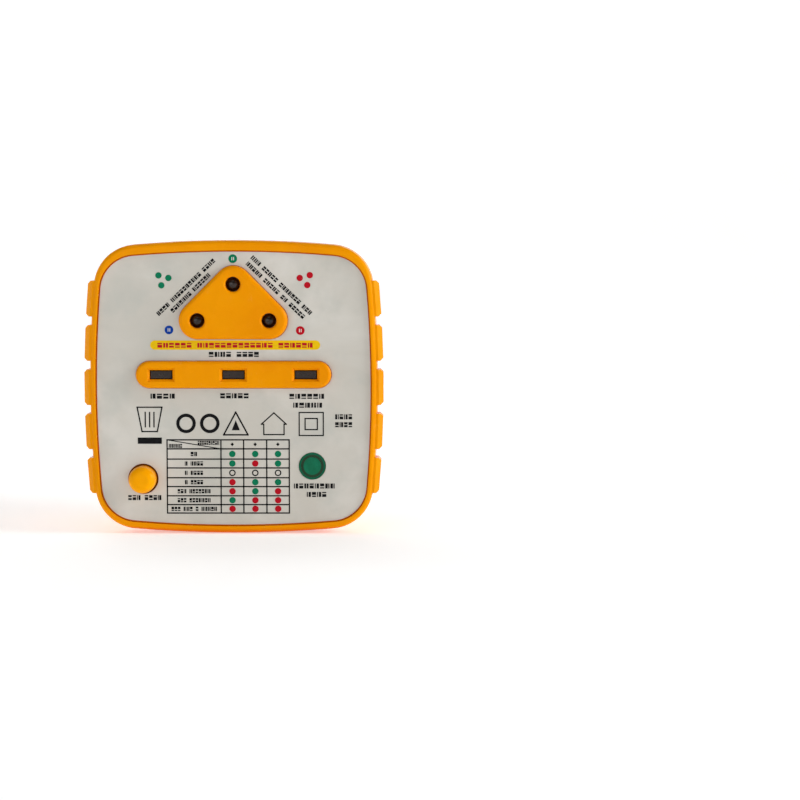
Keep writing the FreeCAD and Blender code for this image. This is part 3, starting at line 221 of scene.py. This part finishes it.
def metal(name, colour, deep, rough, lines):
    """Plated metal: drawn lines along the part, tarnish clouds and fine scratches."""
    look = Look(name)
    tarnish = look.ramp(look.noise(260, 5, 0.65), 0.42, 0.75)
    tone = look.blend(tarnish, colour, deep)
    # painted shade: ambient occlusion darkens the metal's crevices towards a dark brown
    painted_crevice_shade = look.ramp(look.crevices(0.0014), 0.25, 0.9, 0.65, 0.0)
    tone = look.blend(painted_crevice_shade, tone, rgb(40, 34, 28))
    drawn = look.noise(1.0, 3, 0.7, look.stretched(lines))
    across = look.stretched((900, 5200, 900), (0.5, 0, 0.4))
    scratch = look.ramp(look.noise(1.0, 4, 0.8, across), 0.6, 0.7)
    dull = look.sum("ADD", look.ramp(drawn, 0.3, 0.7, rough * 0.7, rough * 1.4),
                    look.sum("MULTIPLY", scratch, 0.15))
    height = look.sum("ADD", look.sum("MULTIPLY", drawn, 0.6),
                      look.sum("MULTIPLY", scratch, -0.5))
    normal = look.bump(height, 0.000008, 0.7, look.soft_edges(0.0001))
    return look.set(colour=tone, rough=dull, metal=1.0, normal=normal)


def printed_film():
    """Translucent pale film over the panel: cloudy tone, fine orange-peel, hairline scratches."""
    look = Look("printed_label")
    cloud = look.noise(38, 5, 0.6, warp=0.6)
    tone = look.blend(look.ramp(cloud, 0.36, 0.68), rgb(200, 196, 186), rgb(214, 211, 203))
    blotch = look.noise(120, 3, 0.55)
    tone = look.blend(look.ramp(blotch, 0.45, 0.75, 0.0, 0.5), tone, rgb(184, 186, 178))
    specks = look.ramp(look.cells(700), 0.0, 0.09, 1.0, 0.0)
    rare = look.ramp(look.noise(210, 2, 0.5), 0.62, 0.7)
    specks = look.sum("MULTIPLY", specks, rare)
    tone = look.blend(look.sum("MULTIPLY", specks, 0.5), tone, rgb(238, 236, 230))
    hair = look.noise(1.0, 3, 0.7, look.stretched((700, 1, 7000), (0, 0.7, 0)))
    hair = look.ramp(hair, 0.66, 0.72)
    dull = look.ramp(look.noise(240, 4, 0.6), 0.3, 0.7, 0.30, 0.42)
    dull = look.sum("ADD", dull, look.sum("MULTIPLY", hair, 0.2))
    peel = look.noise(900, 2, 0.5)
    wave = look.noise(60, 2, 0.5)
    height = look.sum("ADD", look.sum("MULTIPLY", peel, 0.5), look.sum("MULTIPLY", wave, 2.0))
    height = look.sum("SUBTRACT", height, look.sum("MULTIPLY", hair, 0.3))
    return look.set(colour=tone, rough=dull, normal=look.bump(height, 0.00002, 0.8),
                    coat=0.25, coat_rough=0.25)


def ink(name, colour, deep):
    """Screen-printed ink: slightly uneven density and a fine grain."""
    look = Look(name)
    rough = 0.38
    thin = look.ramp(look.noise(1500, 3, 0.6), 0.45, 0.75)
    tone = look.blend(thin, colour, deep)
    dull = look.ramp(look.noise(420, 3, 0.6), 0.3, 0.7, rough - 0.06, rough + 0.1)
    height = look.noise(5000, 2, 0.5)
    return look.set(colour=tone, rough=dull, normal=look.bump(height, 0.000008, 0.5),
                    specular=0.1)


def touch_print():
    """Green pad with a darker ring, coloured by distance from the pad's middle."""
    look = Look("touch_green")
    offset = look.put("VectorMath", operation="SUBTRACT")
    look.feed(offset.inputs[0], look.place)
    centre = middle("touch_pad")
    offset.inputs[1].default_value = (centre.x, 0, centre.z)
    flat = look.put("VectorMath", operation="MULTIPLY")
    look.feed(flat.inputs[0], offset.outputs[0])
    flat.inputs[1].default_value = (1, 0, 1)
    length = look.put("VectorMath", operation="LENGTH")
    look.feed(length.inputs[0], flat.outputs[0])
    reach = length.outputs["Value"]
    ring_in, ring_out = (0.002, 0.00206), (0.00258, 0.00268)     # the ring's soft edges, m
    ring = look.sum("MULTIPLY", look.ramp(reach, *ring_in), look.ramp(reach, *ring_out, 1.0, 0.0))
    body = look.blend(look.ramp(look.noise(500, 4, 0.6), 0.35, 0.7), rgb(0, 100, 68),
                      rgb(2, 112, 80))
    body = look.blend(look.ramp(reach, 0.0025, 0.0027, 0.0, 0.6), body, rgb(0, 80, 54))
    tone = look.blend(look.sum("MULTIPLY", ring, 0.85), body, rgb(40, 56, 36))
    dull = look.ramp(look.noise(300, 3, 0.6), 0.3, 0.7, 0.32, 0.46)
    height = look.sum("ADD", look.noise(2600, 2, 0.5), look.sum("MULTIPLY", ring, -1.0))
    return look.set(colour=tone, rough=dull, normal=look.bump(height, 0.00002, 0.6),
                    specular=0.16)


def lens(name, colour, pale, rough, coat):
    """Unlit lamp: dark tinted resin, clouded with a paler tone, on a slightly uneven face."""
    look = Look(name)
    inner = look.ramp(look.noise(900, 3, 0.6), 0.42, 0.66)
    tone = look.blend(inner, colour, pale)
    dull = look.ramp(look.noise(700, 3, 0.6), 0.3, 0.7, rough * 0.7, rough * 1.3)
    height = look.noise(1600, 2, 0.5)
    return look.set(colour=tone, rough=dull, normal=look.bump(height, 0.00002, 0.6),
                    coat=coat, coat_rough=0.05, specular=0.35)


def board_resist():
    """Solder resist over copper tracks."""
    look = Look("board_green")
    tracks = look.ramp(look.cells(260, look.stretched((1, 0.02, 1))), 0.36, 0.42)
    tone = look.blend(tracks, rgb(12, 72, 36), rgb(24, 104, 52))
    dull = look.ramp(look.noise(400, 3, 0.6), 0.3, 0.7, 0.25, 0.4)
    return look.set(colour=tone, rough=dull, normal=look.bump(tracks, 0.00003, 0.7))


def plain(name, colour, deep, rough):
    """Small inner parts: two tones, uneven gloss and a fine grain."""
    look = Look(name)
    tone = look.blend(look.ramp(look.noise(300, 4, 0.6), 0.35, 0.7), colour, deep)
    dull = look.ramp(look.noise(500, 3, 0.6), 0.3, 0.7, rough - 0.05, rough + 0.1)
    return look.set(colour=tone, rough=dull, normal=look.bump(look.noise(3500, 2, 0.6),
                                                              0.00001, 0.6))


def tube_glass():
    """Clear glass with faint smears, for the fuse."""
    look = Look("glass")
    smear = look.noise(600, 3, 0.6)
    tone = look.blend(look.ramp(smear, 0.4, 0.7), rgb(214, 222, 222), rgb(236, 240, 240))
    dull = look.ramp(smear, 0.3, 0.7, 0.05, 0.16)
    return look.set(colour=tone, rough=dull, normal=look.bump(smear, 0.00001, 0.4),
                    see_through=0.8, ior=1.5)


SHELL_ORANGE, SHELL_DEEP = rgb(244, 155, 0), rgb(238, 145, 0)
# the first colour is painted shade: the reddish tone that crevices of the orange plastic are
# darkened towards
CREVICE_SHADE_RED, GOLD_SHEEN = rgb(206, 52, 2), rgb(255, 206, 110)
LOOKS = {
    "orange_plastic": moulded("orange_plastic", SHELL_ORANGE, SHELL_DEEP, 0.25,
                              corner=CREVICE_SHADE_RED, crevice_shade=0.6, scatter=0.05,
                              tint=GOLD_SHEEN),
    "button_orange": moulded("button_orange", rgb(254, 170, 2), rgb(250, 160, 0), 0.26,
                             corner=CREVICE_SHADE_RED, scatter=0.05, tint=GOLD_SHEEN),
    "printed_label": printed_film(),
    "white_plastic": moulded("white_plastic", rgb(226, 224, 218), rgb(212, 209, 200), 0.3,
                             scatter=0.05),
    "nickel": metal("nickel", rgb(206, 200, 190), rgb(176, 166, 150), 0.16, (400, 9000, 400)),
    "tinned_strip": metal("tinned_strip", rgb(184, 174, 148), rgb(138, 128, 100), 0.17,
                          (6500, 500, 500)),
    "steel": metal("steel", rgb(190, 190, 188), rgb(150, 148, 144), 0.28, (3000, 3000, 3000)),
    "clear_lens": lens("clear_lens", rgb(24, 14, 9), rgb(46, 29, 19), 0.12, 0.1),
    "tinted_lens": lens("tinted_lens", rgb(34, 20, 12), rgb(44, 27, 18), 0.3, 0.0),
    "black_plastic": moulded("black_plastic", rgb(30, 30, 32), rgb(22, 22, 24), 0.42, edge=0),
    "touch_green": touch_print(),
    "board_green": board_resist(),
    "capacitor_yellow": plain("capacitor_yellow", rgb(214, 160, 40), rgb(196, 142, 30), 0.35),
    "ceramic_white": plain("ceramic_white", rgb(222, 219, 210), rgb(204, 200, 190), 0.75),
    "varistor_blue": plain("varistor_blue", rgb(38, 84, 150), rgb(28, 66, 128), 0.4),
    "resistor_blue": plain("resistor_blue", rgb(98, 140, 176), rgb(84, 124, 160), 0.4),
    "glass": tube_glass(),
    "lead_blue": plain("lead_blue", rgb(34, 74, 158), rgb(26, 60, 138), 0.42),
    "lead_brown": plain("lead_brown", rgb(92, 54, 32), rgb(78, 44, 26), 0.42),
    "lead_green": plain("lead_green", rgb(68, 148, 62), rgb(54, 130, 50), 0.42),
}
INKS = {
    "black": ink("ink_black", rgb(7, 7, 9), rgb(22, 22, 26)),
    "green": ink("ink_green", rgb(0, 116, 80), rgb(6, 130, 92)),
    "red": ink("ink_red", rgb(184, 6, 30), rgb(168, 4, 26)),
    "blue": ink("ink_blue", rgb(4, 60, 156), rgb(10, 72, 168)),
    "yellow": ink("ink_yellow", rgb(238, 196, 4), rgb(230, 184, 2)),
    "white": ink("ink_white", rgb(232, 230, 226), rgb(220, 218, 212)),
}
for part in frame["record"]["subparts"]:
    mesh = NODES[part["node"]].data
    mesh.materials.clear()
    mesh.materials.append(LOOKS[part["material_slot"]])


# ---- printing on the label -----------------------------------------------------------------

INK_LIFT, TOP_INK_LIFT = 0.03, 0.045     # the ink's face above the sheet, mm
INK_FOOT = 0.01                          # how far its edges reach into the sheet, mm
HAIR_STROKE, THIN_STROKE, STROKE, THICK_STROKE = 0.2, 0.28, 0.3, 0.34     # mm
# stand-in lettering: shares of the pitch between blocks, then shares of one block
WORD_GAP, BLOCK_SHARE = 0.8, 0.8
SLIT_PLACES, SLIT_WIDTHS, UPRIGHT_CHANCE = (-0.16, 0.0, 0.16), (0.14, 0.2), 0.4
CAPTION, SLANTED, TABLE_TEXT, TABLE_HEAD = 1.15, 1.0, 0.98, 0.9           # heights, mm


class Print:
    """One ink layer: flat closed outlines in millimetres across (X) and up (Z) the label."""

    def __init__(self, colour, lift=INK_LIFT):
        self.colour, self.lift = colour, lift
        self.mesh = bmesh.new()

    def outline(self, points):
        """A solid patch of ink inside the outline."""
        depth = LABEL_FRONT - self.lift
        back = [self.mesh.verts.new((x * MM, (LABEL_FRONT + INK_FOOT) * MM, z * MM))
                for x, z in points]
        front = [self.mesh.verts.new((x * MM, depth * MM, z * MM)) for x, z in points]
        self.mesh.faces.new(front)
        count = len(points)
        for i in range(count):
            j = (i + 1) % count
            self.mesh.faces.new((back[i], back[j], front[j], front[i]))

    def box(self, x, z, wide, tall, turn=0.0):
        c, s = math.cos(turn), math.sin(turn)
        corners = [(-wide / 2, -tall / 2), (wide / 2, -tall / 2), (wide / 2, tall / 2),
                   (-wide / 2, tall / 2)]
        self.outline([(x + a * c - b * s, z + a * s + b * c) for a, b in corners])

    def line(self, start, end, thick):
        (x0, z0), (x1, z1) = start, end
        length = math.hypot(x1 - x0, z1 - z0)
        self.box((x0 + x1) / 2, (z0 + z1) / 2, length + thick, thick,
                 math.atan2(z1 - z0, x1 - x0))

    def path(self, points, thick, closed=False):
        ends = points[1:] + points[:1] if closed else points[1:]
        for start, end in zip(points, ends):
            self.line(start, end, thick)

    def disc(self, x, z, radius, steps=40):
        self.outline([(x + radius * math.cos(2 * math.pi * i / steps),
                       z + radius * math.sin(2 * math.pi * i / steps)) for i in range(steps)])

    def band(self, x, z, inner, outer, steps=40):
        """A full ring."""
        for i in range(steps):
            a = math.radians(360.0 * i / steps)
            b = math.radians(360.0 * (i + 1) / steps)
            self.outline([(x + inner * math.cos(a), z + inner * math.sin(a)),
                          (x + outer * math.cos(a), z + outer * math.sin(a)),
                          (x + outer * math.cos(b), z + outer * math.sin(b)),
                          (x + inner * math.cos(b), z + inner * math.sin(b))])

    def pill(self, x, z, half, radius, steps=20):
        """A bar with round ends; half is half the distance between the ends' middles."""
        points = []
        for i in range(steps + 1):
            a = math.pi * (i / steps - 0.5)
            points.append((x + half + radius * math.cos(a), z + radius * math.sin(a)))
        for i in range(steps + 1):
            a = math.pi * (i / steps + 0.5)
            points.append((x - half + radius * math.cos(a), z + radius * math.sin(a)))
        self.outline(points)

    def dashes(self, start, end, tall, words):
        """Stand-in for a line of lettering: small blocks, each split by a gap, word by word."""
        (x0, z0), (x1, z1) = start, end
        length, turn = math.hypot(x1 - x0, z1 - z0), math.atan2(z1 - z0, x1 - x0)
        cells = sum(words) + WORD_GAP * (len(words) - 1)
        pitch = length / cells
        along = 0.0
        for word in words:
            for _ in range(word):
                centre = along + 0.5 * pitch
                wide = BLOCK_SHARE * pitch
                gap, slit = random.choice(SLIT_PLACES), random.choice(SLIT_WIDTHS)
                low, high = gap - slit / 2, gap + slit / 2
                upright = random.random() < UPRIGHT_CHANCE
                for first, last in ((-0.5, low), (high, 0.5)):
                    place, share = 0.5 * (first + last), last - first
                    along_by, up_by = (place * wide, 0.0) if upright else (0.0, place * tall)
                    w, h = (share * wide, tall) if upright else (wide, share * tall)
                    x = x0 + (centre + along_by) * math.cos(turn) - up_by * math.sin(turn)
                    z = z0 + (centre + along_by) * math.sin(turn) + up_by * math.cos(turn)
                    self.box(x, z, w, h, turn)
                along += pitch
            along += WORD_GAP * pitch

    def finish(self, name):
        bmesh.ops.recalc_face_normals(self.mesh, faces=self.mesh.faces)
        piece = add_mesh(self.mesh, name, INKS[self.colour])
        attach(piece, "housing")


def level_dashes(layer, left, right, z, tall, words):
    layer.dashes((left, z), (right, z), tall, words)


black, green, red, blue = Print("black"), Print("green"), Print("red"), Print("blue")
yellow = Print("yellow")
white, red_on_yellow = Print("white", TOP_INK_LIFT), Print("red", TOP_INK_LIFT)

# a badge beside each round lamp, and three spots in each upper corner
for layer, x, z in ((green, -0.08, 29.41), (blue, -14.76, 13.14), (red, 15.29, 13.0)):
    layer.disc(x, z, 1.0)
    for side in (-0.2, 0.2):
        white.box(x + side, z, 0.16, 0.75)
for layer, spots in ((green, ((-17.07, 25.60), (-14.81, 25.01), (-16.44, 23.33))),
                     (red, ((17.51, 25.65), (15.20, 25.01), (16.92, 23.38)))):
    for x, z in spots:
        layer.disc(x, z, 0.73)

# two slanted lines of stand-in lettering on each side of the triangle
black.dashes((-17.4, 16.6), (-4.3, 29.2), SLANTED, (4, 10, 4))
black.dashes((-14.2, 17.3), (-5.4, 25.9), SLANTED, (7, 6))
black.dashes((4.2, 29.9), (17.8, 16.8), SLANTED, (3, 5, 7, 3))
black.dashes((3.1, 28.5), (16.2, 15.9), SLANTED, (5, 5, 2, 5))

# the title on its yellow bar, and the captions
yellow.pill(0.38, 9.67, 18.4, 1.07)
level_dashes(red_on_yellow, -17.57, 18.24, 9.63, 1.1, (6, 13, 6))
level_dashes(black, -5.8, 5.9, 7.54, CAPTION, (4, 4))
for left, right, z, words in ((-19.25, -13.4, -2.05, (4,)), (-3.25, 3.51, -1.98, (5,)),
                              (12.62, 20.82, -2.09, (6,)), (13.48, 20.37, -4.13, (5,)),
                              (23.13, 27.21, -6.81, (4,)), (23.13, 27.21, -8.62, (4,)),
                              (-24.5, -16.7, -25.45, (3, 4)), (13.6, 23.2, -22.76, (8,)),
                              (16.56, 21.27, -24.71, (4,))):
    level_dashes(black, left, right, z, CAPTION, words)

# a row of plain symbols: ribbed tray over a bar, two rings, triangle, five sides, double square
black.path([(-22.2, -4.6), (-16.5, -4.6), (-17.6, -10.2), (-21.1, -10.2)], STROKE,
           closed=True)
for x in (-20.35, -19.35, -18.35):
    black.line((x, -5.8), (x, -9.1), STROKE)
black.box(-19.34, -12.3, 5.53, 1.45)
black.band(-11.0, -8.32, 1.5, 2.25)
black.band(-5.55, -8.32, 1.5, 2.25)
black.path([(0.42, -5.75), (3.2, -10.95), (-2.36, -10.95)], THICK_STROKE, closed=True)
black.outline([(0.42, -7.6), (1.35, -9.9), (-0.51, -9.9)])
black.path([(9.17, -5.9), (12.0, -8.5), (11.5, -8.5), (11.5, -10.9), (6.84, -10.9),
            (6.84, -8.5), (6.3, -8.5)], THIN_STROKE, closed=True)
for west, east, upper, lower in ((14.97, 20.5, -5.81, -11.11), (16.33, 19.14, -7.2, -9.75)):
    black.path([(west, upper), (east, upper), (east, lower), (west, lower)], THIN_STROKE,
               closed=True)

# the table: a first column of stand-in lettering, then three columns of coloured dots
COLUMNS = (-15.39, -3.02, 2.19, 7.49, 12.66)
ROWS = (-12.11, -14.19, -16.55, -18.59, -20.86, -22.90, -25.03, -27.07, -29.02)
for x in COLUMNS:
    black.line((x, ROWS[0]), (x, ROWS[-1]), STROKE)
for z in ROWS:
    black.line((COLUMNS[0], z), (COLUMNS[-1], z), STROKE)
black.line((COLUMNS[0], ROWS[0]), (COLUMNS[1], ROWS[1]), HAIR_STROKE)
level_dashes(black, -8.4, -3.4, -12.8, TABLE_HEAD, (10,))
level_dashes(black, -15.0, -11.9, -13.5, TABLE_HEAD, (6,))
WORDS_MIDDLE = -9.25     # mm across, the middle of the first column's lettering
# each row: half the lettering's length in mm, its words, its dots (green, red, open)
STATES = ((0.8, (2,), "GGG"), (2.15, (1, 4), "GRG"), (2.15, (1, 4), "ooo"),
          (2.15, (1, 4), "RGG"), (3.85, (3, 7), "RGR"), (3.85, (3, 7), "GRR"),
          (5.3, (3, 3, 1, 5), "RRR"))
for row, (half, words, dots) in enumerate(STATES, start=1):
    z = (ROWS[row] + ROWS[row + 1]) / 2
    level_dashes(black, WORDS_MIDDLE - half, WORDS_MIDDLE + half, z, TABLE_TEXT, words)
    for column, state in enumerate(dots, start=1):
        x = (COLUMNS[column] + COLUMNS[column + 1]) / 2
        if state == "o":
            black.band(x, z, 0.48, 0.76)
        else:
            {"G": green, "R": red}[state].disc(x, z, 0.74)
for column in (1, 2, 3):      # a small cross heads each column of dots
    x = (COLUMNS[column] + COLUMNS[column + 1]) / 2
    black.box(x, -13.15, 0.7, STROKE)
    black.box(x, -13.15, STROKE, 0.75)

for layer, name in ((black, "print_black"), (green, "print_green"), (red, "print_red"),
                    (blue, "print_blue"), (yellow, "print_yellow"), (white, "print_white"),
                    (red_on_yellow, "print_title")):
    layer.finish(name)


# ---- raised marks on the plug's face -------------------------------------------------------

def raised_marks():
    """Shallow moulded marks beside the pins and the earth window: bars and a ring."""
    shape = bmesh.new()
    foot, crest, slope = -0.05, 0.28, 0.1       # below and above the plug's face, mm
    ring_x, ring_z, inner, outer, steps = -9.4, 10.2, 1.0, 1.55, 32
    thin, thick = 0.5, 0.55                     # bar widths, mm

    def bar(x, z, wide, tall):
        ends = []
        for y, inset in ((foot, 0.0), (crest, slope)):
            w, h = (wide / 2 - inset), (tall / 2 - inset)
            ends.append([shape.verts.new(((x + a * w) * MM, y * MM, (z + b * h) * MM))
                         for a, b in ((-1, -1), (1, -1), (1, 1), (-1, 1))])
        shape.faces.new(ends[1])
        for i in range(4):
            j = (i + 1) % 4
            shape.faces.new((ends[0][i], ends[0][j], ends[1][j], ends[1][i]))

    for z, wide in ((7.3, 2.0), (8.4, 3.4), (9.5, 4.8)):
        bar(9.6, z, wide, thin)
    bar(9.6, 11.0, thin, 2.5)
    bar(9.8, -7.1, thick, 3.2)
    for x in (-9.3, -10.9):
        bar(x, -7.0, thick, 3.2)
    for i in range(steps):
        a, b = 2 * math.pi * i / steps, 2 * math.pi * (i + 1) / steps
        rims = []
        for radius, y in ((inner, foot), (inner + slope, crest), (outer - slope, crest),
                          (outer, foot)):
            rims.append([shape.verts.new(((ring_x + radius * math.cos(t)) * MM, y * MM,
                                          (ring_z + radius * math.sin(t)) * MM))
                         for t in (a, b)])
        for low, high in zip(rims, rims[1:]):
            shape.faces.new((low[0], low[1], high[1], high[0]))
    bmesh.ops.remove_doubles(shape, verts=shape.verts, dist=1e-7)
    bmesh.ops.recalc_face_normals(shape, faces=shape.faces)
    piece = add_mesh(shape, "face_marks", LOOKS["orange_plastic"])
    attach(piece, "housing")


raised_marks()


# ---- return spring -------------------------------------------------------------------------

def coil_spring():
    """The button's coil spring, with closed end turns, built at one fixed length."""
    centre_x, _, centre_z = middle("test_button") / MM
    radius, wire = 1.9, 0.18                    # of the coil and of its wire, mm
    turns, rings, sides = 5.0, 200, 10
    closed, free = 0.12, 0.76                   # shares of the wire: one closed end, the rest
    front, back = (-corner.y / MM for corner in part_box("button_spring"))
    low, high = back + wire, front - wire
    path = []
    for i in range(rings + 1):
        t = i / rings
        squeezed = min(max((t - closed) / free, 0.0), 1.0)
        a = 2 * math.pi * turns * t
        path.append(Vector((centre_x + radius * math.cos(a), -(low + (high - low) * squeezed),
                            centre_z + radius * math.sin(a))))
    shape = bmesh.new()
    loops = []
    for i, spot in enumerate(path):
        ahead = path[min(i + 1, rings)] - path[max(i - 1, 0)]
        ahead.normalize()
        outward = Vector((spot.x - centre_x, 0, spot.z - centre_z)).normalized()
        across = ahead.cross(outward).normalized()
        outward = across.cross(ahead).normalized()
        loops.append([shape.verts.new((spot + wire * (
            outward * math.cos(2 * math.pi * k / sides) +
            across * math.sin(2 * math.pi * k / sides))) * MM) for k in range(sides)])
    for low_ring, high_ring in zip(loops, loops[1:]):
        for k in range(sides):
            j = (k + 1) % sides
            shape.faces.new((low_ring[k], low_ring[j], high_ring[j], high_ring[k]))
    shape.faces.new(loops[0])
    shape.faces.new(loops[-1])
    bmesh.ops.recalc_face_normals(shape, faces=shape.faces)
    piece = add_mesh(shape, "coil", LOOKS["steel"], smooth=True)
    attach(piece, "housing")
    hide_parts("button_spring")
    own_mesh(piece)


coil_spring()


# ---- floor, light and camera ---------------------------------------------------------------

def sweep():
    """Pale floor that curves up into a backdrop."""
    near, bend, radius, top, half = -1.3, 0.5, 0.5, 2.4, 1.2     # metres
    steps = 16
    paper_tones = (0.88, 0.88, 0.88, 1), (0.91, 0.91, 0.91, 1)
    profile = [(near, FLOOR), (bend, FLOOR)]
    for i in range(1, steps + 1):
        a = math.pi / 2 * i / steps
        profile.append((bend + radius * math.sin(a), FLOOR + radius * (1 - math.cos(a))))
    profile.append((bend + radius, top))
    shape = bmesh.new()
    sides = [[shape.verts.new((x, y, z)) for y, z in profile] for x in (-half, half)]
    for i in range(len(profile) - 1):
        shape.faces.new((sides[0][i], sides[1][i], sides[1][i + 1], sides[0][i + 1]))
    look = Look("backdrop")
    paper = look.noise(14, 4, 0.6)
    tone = look.blend(look.ramp(paper, 0.3, 0.7), *paper_tones)
    paint = look.set(colour=tone, rough=look.ramp(paper, 0.3, 0.7, 0.75, 0.85),
                     normal=look.bump(look.noise(900, 3, 0.6), 0.00005, 0.3),
                     glow=WHITE, glow_strength=0.4)
    add_mesh(shape, "backdrop", paint, smooth=True)


def area_light(name, place, target, wide, tall, power, colour):
    """A rectangular light of a size in metres and a power in watts."""
    data = bpy.data.lights.new(name, "AREA")
    data.shape, data.size, data.size_y = "RECTANGLE", wide, tall
    data.energy, data.color = power, colour
    light = bpy.data.objects.new(name, data)
    light.location = place
    aim = Vector(target) - Vector(place)
    light.rotation_euler = aim.to_track_quat("-Z", "Y").to_euler()
    bpy.context.scene.collection.objects.link(light)


def studio_world():
    """Surroundings that are pale at the horizon and dimmer overhead."""
    world = bpy.data.worlds.new("studio")
    bpy.context.scene.world = world
    world.use_nodes = True
    tree = world.node_tree
    sky = tree.nodes.new("ShaderNodeTexCoord")
    parts = tree.nodes.new("ShaderNodeSeparateXYZ")
    fade = tree.nodes.new("ShaderNodeMapRange")
    for name, value in (("From Min", 0.1), ("From Max", 0.3), ("To Min", 0.9),
                        ("To Max", 0.1)):
        fade.inputs[name].default_value = value
    tree.links.new(sky.outputs["Generated"], parts.inputs[0])
    tree.links.new(parts.outputs["Z"], fade.inputs["Value"])
    tree.links.new(fade.outputs["Result"], tree.nodes["Background"].inputs["Strength"])
    tree.nodes["Background"].inputs["Color"].default_value = WHITE
    bpy.context.scene.view_settings.view_transform = "Standard"


def main_camera():
    """Looks down on the label at a small angle, with the object left of the picture's middle."""
    lens_length, sensor = 98.415, 36.0                  # mm
    distance, aside, drop = 0.50138, 0.03811, 0.00293   # metres from the label's middle
    pitch = math.radians(4.0)
    data = bpy.data.cameras.new("camera")
    data.sensor_width, data.lens = sensor, lens_length
    data.clip_start, data.clip_end = 0.01, 10.0
    camera = bpy.data.objects.new("camera", data)
    bpy.context.scene.collection.objects.link(camera)
    right = Vector((1, 0, 0))
    ahead = Vector((0, math.cos(pitch), -math.sin(pitch)))
    above = right.cross(ahead)
    aimed_at = Vector((0, LABEL_FRONT * MM, 0))
    camera.location = aimed_at + right * aside - above * drop - ahead * distance
    camera.rotation_euler = ahead.to_track_quat("-Z", "Y").to_euler()
    bpy.context.scene.camera = camera


MIDDLE = (0, -0.03, 0)
# name, place, width and height in metres, power in watts, colour
LIGHTS = (("key", (0.8, -0.2, 0.3), 0.35, 0.35, 4.9, (1.0, 0.985, 0.96)),
          ("fill", (-0.45, -0.8, 0.1), 0.7, 0.7, 1.75, (0.98, 0.99, 1.0)),
          ("top", (-0.1, -0.55, 0.9), 0.7, 0.5, 0.8, (1.0, 1.0, 1.0)),
          ("back", (-0.5, 0.7, 0.75), 0.6, 0.5, 0.8, (1.0, 1.0, 1.0)),
          ("back_left", (-0.8, 0.4, 0.25), 0.4, 0.4, 1.5, (1.0, 0.98, 0.95)))
# daylight that the thin walls let through: a faint light behind each row of vents
VENT_SIDE, GLOW_DEPTH, GLOW_AIM = 0.0291, -0.0385, -0.06     # metres
GLOW_WIDE, GLOW_TALL, GLOW_POWER, GLOW_ORANGE = 0.002, 0.026, 0.0007, (1.0, 0.24, 0.02)

sweep()
for name, place, wide, tall, power, colour in LIGHTS:
    area_light(name, place, MIDDLE, wide, tall, power, colour)
for side in (-1, 1):
    area_light("vent_glow", (side * VENT_SIDE, GLOW_DEPTH, 0), (side * VENT_SIDE, GLOW_AIM, 0),
               GLOW_WIDE, GLOW_TALL, GLOW_POWER, GLOW_ORANGE)
studio_world()
main_camera()
